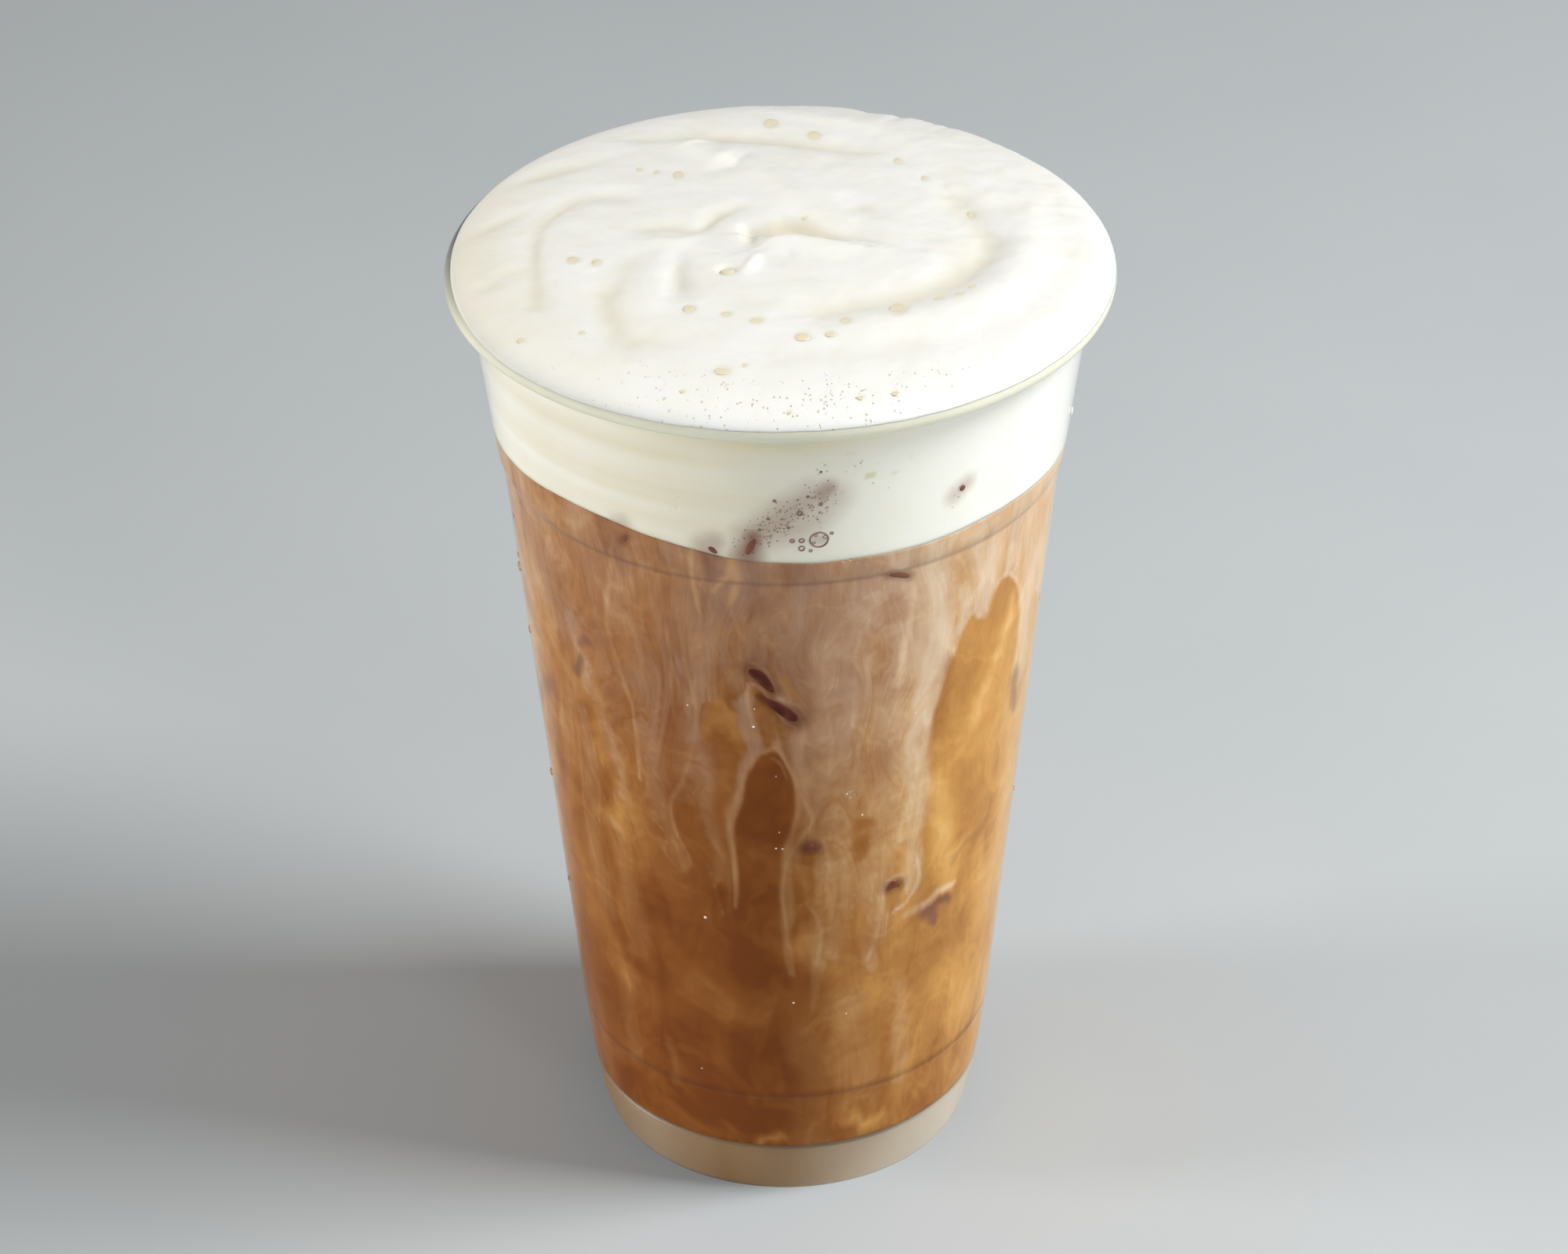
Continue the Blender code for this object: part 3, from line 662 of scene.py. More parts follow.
class Finish:
    """A material whose look is worked out by nodes and given to its Principled shader."""

    def __init__(self, name):
        self.material = bpy.data.materials.new(name)
        self.material.use_nodes = True
        self.nodes = self.material.node_tree.nodes
        self.links = self.material.node_tree.links
        self.shader = self.nodes["Principled BSDF"]

    def add(self, kind, settings, inputs, output=0):
        """Adds a node, sets it up, feeds its inputs and gives one of its outputs."""
        node = self.nodes.new(kind)
        for name, value in settings.items():
            if name == "stops":
                self.lay_stops(node.color_ramp, value)
            else:
                setattr(node, name, value)
        for key, value in inputs.items():
            self.feed(node.inputs[key], value)
        return Wire(self, node.outputs[output])

    def lay_stops(self, ramp, stops):
        """Gives a colour ramp its stops, which are (position, colour)."""
        while len(ramp.elements) < len(stops):
            ramp.elements.new(1.0)
        for element, (position, colour) in zip(ramp.elements, stops):
            element.position = position
            element.color = colour

    def feed(self, socket, value):
        if isinstance(value, Wire):
            self.links.new(value.socket, socket)
        else:
            socket.default_value = value

    def place(self):
        """Object coordinates, in metres."""
        return self.add("ShaderNodeTexCoord", {}, {}, "Object")

    def mask(self, name):
        """One of the piece's own masks."""
        return self.add("ShaderNodeAttribute", {"attribute_name": name}, {}, "Fac")

    def direction(self, name):
        """One of the piece's own sets of coordinates."""
        return self.add("ShaderNodeAttribute", {"attribute_name": name}, {}, "Vector")

    def upward(self, place):
        """The height in a set of coordinates."""
        return self.add("ShaderNodeSeparateXYZ", {}, {"Vector": place}, "Z")

    def noise(self, vector, scale, detail=3.0, roughness=0.5):
        inputs = {"Vector": vector, "Scale": scale, "Detail": detail, "Roughness": roughness}
        return self.add("ShaderNodeTexNoise", {}, inputs)

    def swirled(self, vector, scale, reach):
        """Coordinates pushed about by a soft noise."""
        soft = {"Vector": vector, "Scale": scale, "Detail": 1.0}
        push = self.add("ShaderNodeTexNoise", {}, soft, "Color")
        inputs = {0: push, 1: (reach, reach, reach), 2: vector}
        return self.add("ShaderNodeVectorMath", {"operation": "MULTIPLY_ADD"}, inputs)

    def cells(self, vector, scale, **settings):
        inputs = {"Vector": vector, "Scale": scale}
        return self.add("ShaderNodeTexVoronoi", settings, inputs, "Distance")

    def ramp(self, factor, *stops):
        return self.add("ShaderNodeValToRGB", {"stops": stops}, {"Fac": factor})

    def mixed(self, factor, first, second):
        """The first colour where the factor is 0 and the second where it is 1."""
        return self.add("ShaderNodeMix", {"data_type": "RGBA"}, {0: factor, 6: first, 7: second}, 2)

    def bump(self, height, distance, strength=1.0):
        inputs = {"Height": height, "Distance": distance, "Strength": strength}
        return self.add("ShaderNodeBump", {}, inputs)

    def shade(self, **inputs):
        """Feeds the Principled shader; a socket's name is written with _ for each space."""
        for name, value in inputs.items():
            self.feed(self.shader.inputs[name.replace("_", " ")], value)
        return self.material

    def let_light_through(self):
        """Lets shadow and diffuse rays pass, so that what is behind clear plastic is lit evenly."""
        path = self.nodes.new("ShaderNodeLightPath")
        shadow, diffuse = (Wire(self, path.outputs[name]) for name in ("Is Shadow Ray", "Is Diffuse Ray"))
        clear = self.nodes.new("ShaderNodeBsdfTransparent")
        either = self.nodes.new("ShaderNodeMixShader")
        self.feed(either.inputs[0], shadow.larger(diffuse))
        self.links.new(self.shader.outputs[0], either.inputs[1])
        self.links.new(clear.outputs[0], either.inputs[2])
        self.links.new(either.outputs[0], self.nodes["Material Output"].inputs["Surface"])
        return self.material


def clear_plastic():
    """Thin clear plastic, with the faint waves that moulding leaves."""
    finish = Finish("clear_plastic")
    waves = finish.noise(finish.place(), 60.0, 2.0)
    finish.shade(
        Base_Color=tone(248, 250, 247),
        Roughness=0.03,
        IOR=1.14,
        Transmission_Weight=1.0,
        Normal=finish.bump(waves, 0.03 * MM),
    )
    return finish.let_light_through()


def rim_plastic():
    """The rolled rim, milky and green over the foam, and grey where it is bare of it: a painted reflection
    of the darker surroundings in the clear plastic.
    """
    finish = Finish("rolled_rim")
    cloud = finish.noise(finish.place(), 160.0, 2.0)
    milky = finish.mixed(cloud, tone(223, 223, 201), tone(232, 232, 214))
    return finish.shade(
        # The grey where the rim is bare of foam is a painted reflection of darker surroundings
        Base_Color=finish.mixed(finish.mask("bare"), milky, tone(136, 142, 138)),
        Roughness=0.18,
        Specular_IOR_Level=0.45,
        Subsurface_Weight=0.5,
        Subsurface_Radius=(1.0, 1.0, 0.9),
        Subsurface_Scale=1.0 * MM,
    )


def frosted_plastic():
    """The foot's skirt, milky and warm where the coffee above shows in it, with painted light: paler on its
    lit right side.
    """
    finish = Finish("frosted_foot")
    place = finish.place()
    cloud = finish.noise(place, 90.0, 3.0)
    grain = finish.noise(place, 2500.0, 2.0)
    pale = finish.mixed(cloud, tone(222, 212, 194), tone(234, 226, 210))
    warm = finish.mixed(cloud, tone(152, 116, 74), tone(182, 148, 106))
    finish.shade(
        Base_Color=finish.mixed(finish.mask("amber"), pale, warm),
        Roughness=0.42,
        IOR=1.4,
        Transmission_Weight=0.55,
        Normal=finish.bump(grain, 0.02 * MM),
    )
    return finish.let_light_through()


def marbled_coffee():
    """Coffee with milk sinking through it. The masks say where, and streaks follow the milk's flow. The
    glow is partly painted light, and the lines under the shoulder and the low ring are painted shade.
    """
    finish = Finish("coffee_and_milk")
    place = finish.place()
    height = finish.upward(place)
    glow, veil, cream, shade = (finish.mask(name) for name in ("glow", "veil", "cream", "shade"))
    flow = finish.swirled(finish.direction("flow"), 0.5, 0.9)
    streaks = finish.noise(flow, 0.9, 6.0, 0.62)
    wisps = finish.noise(flow, 3.0, 4.0, 0.6)
    threads = finish.noise(flow, 1.5, 2.0, 0.5).line_at(0.5, 0.035)
    curled = finish.swirled(place, 60.0, 0.014)
    drifts = finish.noise(curled, 95.0, 6.0, 0.64)
    curls = finish.noise(curled, 70.0, 3.0, 0.55).line_at(0.5, 0.05)
    unrest = (drifts - 0.5) * 0.85 + curls * 0.1
    warmth = (glow + unrest * (1 - glow * 0.6) + (wisps - 0.5) * 0.16).held()
    coffee = finish.ramp(
        warmth,
        (0.0, tone(118, 64, 28)),
        (0.12, tone(130, 74, 32)),
        (0.3, tone(143, 88, 42)),
        (0.45, tone(160, 105, 54)),
        (0.6, tone(177, 125, 69)),
        (0.75, tone(200, 146, 80)),
        (0.9, tone(215, 165, 98)),
        (1.0, tone(228, 182, 118)),
    )
    fresh_milk = finish.ramp(
        warmth,
        (0.0, tone(168, 134, 114)),
        (0.3, tone(178, 144, 122)),
        (0.45, tone(188, 152, 126)),
        (0.6, tone(206, 177, 151)),
        (0.8, tone(222, 200, 175)),
        (1.0, tone(230, 208, 184)),
    )
    sunk_milk = finish.ramp(
        warmth,
        (0.0, tone(150, 102, 60)),
        (0.3, tone(161, 113, 70)),
        (0.45, tone(174, 127, 82)),
        (0.6, tone(193, 151, 106)),
        (0.8, tone(213, 180, 138)),
        (1.0, tone(226, 196, 152)),
    )
    milk = finish.mixed(height.rise(66 * MM, 104 * MM), sunk_milk, fresh_milk)
    strand = finish.ramp(
        warmth,
        (0.0, tone(184, 136, 90)),
        (0.4, tone(200, 158, 118)),
        (0.8, tone(236, 216, 188)),
    )
    grain = (streaks - 0.5) * 0.8 + (wisps - 0.5) * 0.45 + threads * 0.10
    cover = (veil + grain * veil.rise(0.0, 0.45) * (1 - veil * 0.4)).held()
    # Painted shade: dark lines just under the shoulder's step and under the low ring
    shoulder_painted_shade = height.line_at(SHOULDER_HEIGHT + 0.1 * MM, 0.7 * MM) * (0.54 - glow * 0.36)
    low_ring_painted_shade = height.line_at(LOW_RING_HEIGHT + 0.3 * MM, 1.1 * MM) * 0.3
    colour = finish.mixed(cover, coffee, milk)
    colour = finish.mixed((cream * (0.5 + streaks)).held(), colour, strand)
    colour = finish.mixed(shade * 0.8, colour, tone(118, 80, 72))
    colour = finish.mixed(shoulder_painted_shade, colour, tone(118, 80, 68))
    colour = finish.mixed(low_ring_painted_shade, colour, tone(88, 50, 40))
    colour = finish.mixed(finish.mask("ice"), colour, tone(84, 34, 20))
    return finish.shade(Base_Color=colour, Roughness=0.6, Specular_IOR_Level=0.0)


def sunken_ice():
    """Ice seen through coffee where it touches the wall, nearly black."""
    finish = Finish("sunken_ice")
    place = finish.place()
    cloud = finish.noise(place, 500.0, 4.0)
    frost = finish.noise(place, 1800.0, 2.0)
    clear = cloud.rise(0.35, 0.7)
    low = finish.mixed(clear, tone(104, 52, 34), tone(134, 82, 58))
    high = finish.mixed(clear, tone(74, 24, 12), tone(108, 54, 36))
    height = finish.upward(place)
    colour = finish.mixed(height.rise(74 * MM, 92 * MM), low, high)
    near_foam = finish.mixed(cloud, tone(104, 58, 46), tone(146, 96, 76))
    colour = finish.mixed(height.rise(108 * MM, 114 * MM), colour, near_foam)
    relief = finish.bump(frost, 0.02 * MM)
    return finish.shade(Base_Color=colour, Roughness=0.5, Specular_IOR_Level=0.2, Normal=relief)


def water_drop():
    """Clear water."""
    finish = Finish("water_drop")
    ripple = finish.noise(finish.place(), 900.0, 1.0)
    finish.shade(
        Base_Color=tone(252, 252, 250),
        Roughness=0.02,
        IOR=1.33,
        Transmission_Weight=1.0,
        Normal=finish.bump(ripple, 0.02 * MM),
    )
    return finish.let_light_through()


def bubble_skin():
    """The thin shining skin of a bubble in the foam."""
    finish = Finish("bubble_skin")
    sheen = finish.noise(finish.place(), 700.0, 2.0)
    colour = finish.mixed(sheen, tone(235, 225, 190), tone(243, 236, 210))
    relief = finish.bump(sheen, 0.05 * MM)
    return finish.shade(Base_Color=colour, Roughness=0.3, Specular_IOR_Level=0.3, Normal=relief)


def bubble_ring():
    """The brown ring where coffee gathers round a bubble at the wall."""
    finish = Finish("bubble_ring")
    blotch = finish.noise(finish.place(), 1600.0, 2.0)
    colour = finish.mixed(blotch, tone(104, 72, 64), tone(168, 138, 128))
    return finish.shade(Base_Color=colour, Roughness=0.5)


def glint_speck():
    """A white speck that stands in for a glint: a painted highlight."""
    finish = Finish("glint_speck")
    mottle = finish.noise(finish.place(), 2500.0, 1.0)
    colour = finish.mixed(mottle, tone(246, 232, 208), tone(255, 250, 240))
    return finish.shade(Base_Color=colour, Roughness=0.3)


def cold_foam():
    """Milk foam: off-white, tan as painted shade in its hollows, down its side and under the rim, tan where
    coffee shows through, with pin bubbles.
    """
    finish = Finish("milk_foam")
    place = finish.place()
    tan, stain, fizz = (finish.mask(name) for name in ("tan", "stain", "fizz"))
    mottle = finish.noise(place, 130.0, 4.0)
    pins = 1 - finish.cells(place, 1300.0).rise(0.14, 0.3)
    pins = pins * (finish.noise(place, 700.0, 1.0) + fizz * 0.3).rise(0.7, 0.78)
    white = finish.mixed(mottle.rise(0.35, 0.75), tone(252, 252, 247), tone(249, 248, 240))
    pin_tone = finish.mixed(stain, tone(214, 200, 160), tone(92, 52, 42))
    # The tan mask is mostly painted shade, with real tan under bubbles, in specks and along the foam line
    colour = finish.mixed(tan, white, tone(222, 210, 172))
    colour = finish.mixed(stain * (0.7 + mottle * 0.6), colour, tone(134, 82, 58))
    colour = finish.mixed(pins * fizz * 0.75, colour, pin_tone)
    height = mottle * 0.6 + finish.noise(place, 1500.0, 2.0) * 0.12 - pins * (0.25 + fizz)
    return finish.shade(
        Base_Color=colour,
        Roughness=0.48,
        Subsurface_Weight=0.35,
        Subsurface_Radius=(1.0, 0.8, 0.6),
        Subsurface_Scale=1.5 * MM,
        Normal=finish.bump(height, 0.12 * MM),
    )


def pale_floor():
    """A plain pale worktop."""
    finish = Finish("pale_floor")
    mottle = finish.noise(finish.place(), 14.0, 4.0)
    colour = finish.mixed(mottle, tone(191, 198, 202), tone(199, 205, 209))
    return finish.shade(Base_Color=colour, Roughness=0.75)


def cup_outline():
    """One closed run: floor, up the inside, over the rolled rim, down the outside, round the foot."""
    rim = bead_centre()
    inner_rise = [(r - WALL, z) for r, z in SOFT_WALL[::-1] if z > FLOOR_TOP + 1.5 * MM]
    skirt = [(r - FOOT_WIDTH, z) for r, z in SOFT_WALL[::-1] if 1 * MM < z < FLOOR_TOP - 2 * MM]
    floor_corner = float(inner_radius(FLOOR_TOP))
    ceiling = FLOOR_TOP - WALL
    ceiling_corner = float(inner_radius(ceiling)) + WALL - FOOT_WIDTH
    return [
        (0.0, FLOOR_TOP),
        (floor_corner - 1.2 * MM, FLOOR_TOP),
        (floor_corner - 0.2 * MM, FLOOR_TOP + 0.4 * MM),
        *inner_rise,
        *arc(rim, BEAD_RADIUS, math.pi, CURL_END, count=26),
        *arc(rim, BEAD_RADIUS - WALL, CURL_END, math.pi, count=18),
        *SOFT_WALL,
        (FOOT_RADIUS, 0.0),
        (FOOT_RADIUS - FOOT_WIDTH, 0.0),
        *skirt,
        (ceiling_corner - 0.3 * MM, ceiling - 0.5 * MM),
        (ceiling_corner - 1.0 * MM, ceiling),
        (0.0, ceiling),
    ]


def tumbler():
    """The clear cup, with its foot's skirt and its rolled rim in milky finishes of their own."""
    form = turned(cup_outline(), CUP_STEPS)
    piece = piece_from("tumbler", form, clear_plastic(), frosted_plastic(), rim_plastic())
    clear, frosted, rolled = range(3)
    for face in piece.data.polygons:
        on_rim = face.center.z > RIM_START and face.center.xy.length > NECK_TOP_RADIUS + 0.5 * MM
        on_foot = face.center.z < FROST_TOP
        face.material_index = rolled if on_rim else frosted if on_foot else clear
    turn = spots_of(piece)[0]
    # The foot's amber mask is partly painted light: paler on the lit right side
    keep_mask(piece, "amber", np.interp(turn, AMBER_TURNS, AMBER_LEVELS))
    keep_mask(piece, "bare", np.interp(turn, BARE_TURNS, BARE_LEVELS))
    return piece


def coffee_outline():
    """The drink's top, its side in even steps down the wall, and its heel and underside."""
    heel_top = FLOOR_TOP + HEEL
    heights = np.linspace(FOAM_LINE, heel_top, COFFEE_RINGS)
    side = [(float(inner_radius(z)) + REACH, z) for z in heights]
    corner = float(inner_radius(heel_top)) + REACH
    heel = arc((corner - HEEL, heel_top), HEEL, 0.0, -0.5 * math.pi, count=6)[1:]
    return [(0.0, FOAM_LINE), (0.5 * side[0][0], FOAM_LINE), *side, *heel, (0.0, heel[-1][1])]


def follow_foam_line(turn, radius, height):
    """Shifts the drink's points so that its top edge is the foam line and its side stays in the wall."""
    on_side = radius > float(inner_radius(FLOOR_TOP)) - 0.5 * MM
    depth_share = np.clip((height - FLOOR_TOP) / (FOAM_LINE - FLOOR_TOP), 0.0, 1.0)
    raised = height + (foam_line(turn) - FOAM_LINE) * depth_share * on_side
    side = on_side & (height > FLOOR_TOP + 0.9 * HEEL) & (radius > inner_radius(height))
    return np.where(side, inner_radius(raised) + REACH, radius), raised


def fingers(turn, bent, depth):
    """Milk that sinks in fingers: whole under the foam, and only its strongest strands reach low."""
    reach = FOAM_LINE / MM - np.interp(turn, VEIL_TURNS, VEIL_LOWS)
    share = depth / reach
    broad = 0.55 + 0.5 * broken_hills(bent, depth, across=11.0, down=60.0, seed=11, layers=3)
    fine = 0.55 + 0.6 * broken_hills(bent, depth, across=4.2, down=44.0, seed=15)
    soft = 1 - eased(-0.45, 0.45, share - broad)
    crisp = 1 - eased(-0.15, 0.22, share - fine)
    rim = hump(share, fine, 0.03) * eased(0.2, 0.5, share)
    return 0.62 * soft + 0.38 * crisp, rim


def back_plumes(draw):
    """Plumes, pockets and strands on the side that the front view doesn't show, drawn at random."""
    plumes, pockets, strands = [], [], []
    for turn in BACK_PLUME_TURNS:
        start = turn + draw.uniform(-4, 4)
        length = draw.uniform(40, 84)
        sway = np.cumsum(draw.uniform(-2.4, 2.4, 5))
        line = [(start + s, 122 - length * i / 4) for i, s in enumerate(sway)]
        half_widths = draw.uniform(2.2, 4.4), draw.uniform(0.7, 1.4)
        plumes.append((line, *half_widths, draw.uniform(0.6, 0.95), 0.8))
        edge = draw.uniform(2.0, 3.2)
        strands.append(([(t + edge, h) for t, h in line], 0.85, 0.6, draw.uniform(0.2, 0.4)))
    for turn in BACK_POCKET_TURNS:
        start, top = turn + draw.uniform(-5, 5), draw.uniform(84, 106)
        sway = np.cumsum(draw.uniform(-3.4, 3.4, 4))
        line = [(start + s, top - draw.uniform(0, 4) - 9 * i) for i, s in enumerate(sway)]
        level = draw.uniform(0.35, 0.7)
        pockets.append((line, draw.uniform(1.6, 2.6), draw.uniform(4.0, 6.0), level, 0.85, 0.85))
    return plumes, pockets, strands


def painted(turn, height, strokes):
    """A mask that rises to each stroke's strength where the stroke lies."""
    level = np.zeros(turn.shape)
    for points, first_half, last_half, strength, softness in strokes:
        inside = nearness(turn, height, points, first_half, last_half, softness)
        level = np.maximum(level, inside * strength)
    return level


def ice_halo(turn, height):
    """How strongly the dark of the ice shows round its edges."""
    halos = [(points, ICE_HALO * first, ICE_HALO * last, dark, 0.9) for points, first, last, dark in ICE]
    return painted(turn, height, halos)


def amber(turn, height):
    """How strongly amber shows through the coffee before its clouds and pockets, with painted light that
    makes it golder on the lit right side.
    """
    rows = [np.interp(turn, GLOW_TURNS, levels) for levels in GLOW_LEVELS]
    level = rows[0]
    for row, low, high in zip(rows[1:], GLOW_HEIGHTS, GLOW_HEIGHTS[1:]):
        level = level + (row - level) * np.clip((height - low) / (high - low), 0, 1)
    return level


def marble(piece, turn, height):
    """Paints the coffee's masks and its flow."""
    height = height / MM
    depth = np.maximum(FOAM_LINE / MM - height, 0.0)
    bent, sunk = stirred(turn, height, EDDIES)
    sunk = FOAM_LINE / MM - sunk
    loose = 0.3 + 0.7 * eased(0, 36, depth)
    bent, sunk = turn + (bent - turn) * loose, depth + (sunk - depth) * loose
    ragged, rough = stirred(turn, height, RIPPLES)
    gentle, calm = turn + (ragged - turn) * 0.4, height + (rough - height) * 0.4
    plumes, pockets, strands = back_plumes(np.random.default_rng(BACK_SEED))
    unrest = broken_hills(bent, sunk, across=14.0, down=18.0, seed=21, layers=5)
    # The glow is partly painted light, golder on the lit right side
    glow = amber(turn, height) + 0.12 * unrest
    patches = broken_hills(bent, sunk, across=12.0, down=15.0, seed=18, layers=5)
    haze = np.clip(0.5 + 0.9 * patches, 0, 1)
    veil, rim = fingers(turn, bent, depth)
    veil = veil * np.interp(turn, THICK_TURNS, THICK_LEVELS) * (0.72 + 0.45 * haze)
    rim = rim * haze
    for points, first_half, last_half, strength, softness in (*PLUMES, *plumes):
        inside = nearness(ragged, rough, points, first_half, last_half, softness) * (0.75 + 0.25 * haze)
        veil = np.maximum(veil, strength * inside)
        rim = np.maximum(rim, strength * 2.3 * inside * (1 - inside) * haze)
    for outline, level, top_softness, foot_softness in OPENINGS:
        clear, edge = clearing(gentle, calm, outline, top_softness, foot_softness)
        glow = glow + (level - glow) * clear
        veil = veil * (1 - 0.95 * clear)
        rim = np.maximum(rim * (1 - clear), edge)
    for points, first_half, last_half, level, softness, clearness in (*POCKETS, *pockets):
        inside = nearness(ragged, rough, points, first_half, last_half, softness)
        glow = glow + (level - glow) * inside
        veil = veil * (1 - clearness * inside)
        rim = rim * (1 - inside)
    for points, first_half, last_half, level, softness in CLOUDS:
        inside = nearness(ragged, rough, points, first_half, last_half, softness)
        glow = glow + (level - glow) * inside
    cream = 0.26 * rim
    for points, first_half, last_half, strength in (*STRANDS, *strands):
        inside = nearness(gentle, calm, points, first_half, last_half, 0.9, pointed=0.6)
        cream = np.maximum(cream, strength * inside * (0.5 + 0.6 * haze))
    keep_mask(piece, "glow", glow)
    keep_mask(piece, "veil", veil)
    keep_mask(piece, "cream", cream)
    keep_mask(piece, "shade", painted(ragged, rough, SHADES))
    keep_mask(piece, "ice", ice_halo(turn, height))
    keep_flow(piece, bent, sunk)


def keep_flow(piece, bent, depth):
    """Stores coordinates that are short across the flow and long along it, seamless round the cup."""
    angle = np.radians(bent)
    flow = np.stack([FLOW_ROUND * np.cos(angle), FLOW_ROUND * np.sin(angle), depth / FLOW_LENGTH], axis=1)
    store = piece.data.attributes.new("flow", "FLOAT_VECTOR", "POINT")
    store.data.foreach_set("vector", flow.astype(np.float32).ravel())


def iced_coffee():
    """The drink, with its marbling painted over its side."""
    piece = piece_from("iced_coffee", turned(coffee_outline(), COFFEE_STEPS), marbled_coffee())
    turn, radius, height = spots_of(piece)
    turn = turn - COFFEE_CROWDING * np.degrees(np.sin(np.radians(turn)))
    radius, height = follow_foam_line(turn, radius, height)
    move_spots(piece, turn, radius, height)
    marble(piece, turn, height)
    return piece


# Folds left in the foam by the spoon: middle line, reach in mm to the left and to the right of it as it
# runs, height in mm (grooves are negative) and how rounded it is, from 1, a crease, to 2, a swell
FOLDS = (
    ([(-24, 12), (-29, 12), (-32, 9), (-34, 5), (-35, 0), (-35, -8), (-34.5, -18)], 2.2, 1.7, -0.95, 1.7),
    ([(-28, 9), (-32, 4), (-33, 0), (-32, -10)], 3.2, 1.6, 0.7, 1.8),
    ([(-21, -8), (-23, -14), (-24.5, -20), (-22, -28), (-17, -30)], 3.0, 2.6, -0.8, 1.8),
    ([(-18, -8), (-19.5, -14), (-18.5, -20)], 2.0, 1.4, 0.8, 1.7),
    ([(-14, -8), (-14.5, -14), (-14, -18)], 1.6, 1.6, -0.6, 1.8),
    ([(-20, 1), (-16, 1.3), (-12, 0), (-9, 4), (-6, 7)], 1.4, 1.3, -0.8, 1.5),
    ([(-18, -3), (-14, -3.4), (-11, -1)], 0.8, 1.6, 0.45, 1.5),
    ([(-7, 2.4), (-5.6, -2)], 1.6, 1.3, 0.5, 1.7),
    ([(-4.6, -0.5), (-4, -4.4)], 1.2, 1.2, -1.0, 1.6),
    ([(-4.9, -12.8), (-4.2, -11.2), (-3.7, -9.2)], 0.6, 0.8, 1.0, 1.6),
    ([(-1.6, -4.8), (1, -3.2), (4, -4.0), (8.6, -5.0)], 0.9, 3.0, 1.3, 1.4),
    ([(-1, -1.6), (3, -1.6), (8.6, -3.2)], 3.8, 1.2, -1.7, 1.7),
    ([(-4, 20), (0, 14), (6, 3), (10, -2)], 3.6, 2.0, 0.55, 1.8),
    ([(26, 11), (29, 2), (31, -2), (29, -9), (25, -15), (20, -19), (12, -22), (6, -24)],
     2.0, 3.0, -1.0, 1.9),
    ([(36, 4), (35, -6), (31, -16), (24, -23), (14, -26)], 4.0, 3.2, 0.85, 2.0),
    ([(41, 8), (40, -8), (34, -20), (25, -28), (12, -33), (0, -34)], 2.4, 3.0, -0.45, 2.0),
    ([(10, 8), (14, 5)], 1.6, 1.6, -0.5, 1.8),
    ([(-13.5, 30), (-12.5, 28)], 2.0, 2.0, 0.9, 1.9),
    ([(-10, 24.4), (-7.5, 23.2)], 2.0, 1.8, 0.8, 1.9),
    ([(-5.2, 24), (-6.5, 21), (-9, 19.6)], 1.3, 1.1, -0.6, 1.7),
    ([(-20, 32), (-12, 32), (-6, 31), (2, 29), (12, 26)], 2.6, 1.5, -0.8, 1.7),
    ([(2, 40), (12, 37), (18, 32), (25, 22), (31, 12)], 3.0, 2.0, 0.6, 1.9),
    ([(-45, 4), (-38, 9)], 1.3, 1.1, -0.6, 1.5),
    ([(-47, -11), (-42, -12), (-39, -9)], 1.2, 1.2, -0.5, 1.6),
    ([(-40, 20), (-32, 23), (-26, 25)], 2.0, 1.6, -0.6, 1.8),
)
FOLD_SPREAD = 1.3
FOLD_STRENGTH = 0.9
# The foam's hills repeat every 360 across, so its places in mm are multiplied by this first
HILL_SCALE = 3.6
# Bubbles in the foam's top: place, radii in mm from left to right and from front to back, depth in mm
BUBBLES = (
    (-29.7, -7.7, 1.0, 1.2, 0.5), (-26.5, -8.5, 0.8, 1.1, 0.5), (-15.0, 18.0, 0.9, 1.3, 0.5),
    (-18.2, 19.2, 0.5, 0.7, 0.3), (-20.8, 20.5, 0.4, 0.6, 0.3), (-7.5, -12.4, 1.5, 1.2, 1.8),
    (-12.9, -22.4, 1.1, 1.3, 0.7), (-7.6, -24.1, 0.9, 0.8, 0.4), (-3.3, -26.0, 1.1, 1.0, 0.4),
    (3.0, -30.0, 1.2, 1.4, 0.4), (7.0, -29.6, 0.9, 0.9, 0.3), (9.2, -26.2, 0.9, 1.0, 0.4),
    (16.7, -23.2, 1.4, 2.0, 0.4), (-8.1, -38.0, 1.3, 1.2, 0.4), (-1.3, 36.5, 1.2, 1.9, 0.4),
    (5.2, 32.0, 1.1, 1.6, 0.4), (27.8, 6.5, 0.7, 1.4, 0.4), (-36.5, -26.6, 0.6, 0.7, 0.3),
    (-28.0, -27.0, 0.5, 0.6, 0.3), (3.7, 3.3, 0.4, 0.5, 0.2), (22.5, -19.6, 0.6, 0.8, 0.3),
    (25.5, -18.5, 0.5, 0.7, 0.3), (27.3, -16.4, 0.5, 0.7, 0.3), (11.0, -43.6, 0.6, 0.6, 0.3),
    (15.8, -42.4, 0.6, 0.7, 0.2), (17.6, 22.4, 0.8, 1.2, 0.3), (21.4, 16.6, 0.6, 1.0, 0.3),
    (-13.6, -42.0, 0.4, 0.4, 0.2), (-5.0, -37.0, 0.4, 0.5, 0.2), (1.2, -46.6, 0.4, 0.4, 0.2),
)
PIT_SHARE = 0.35
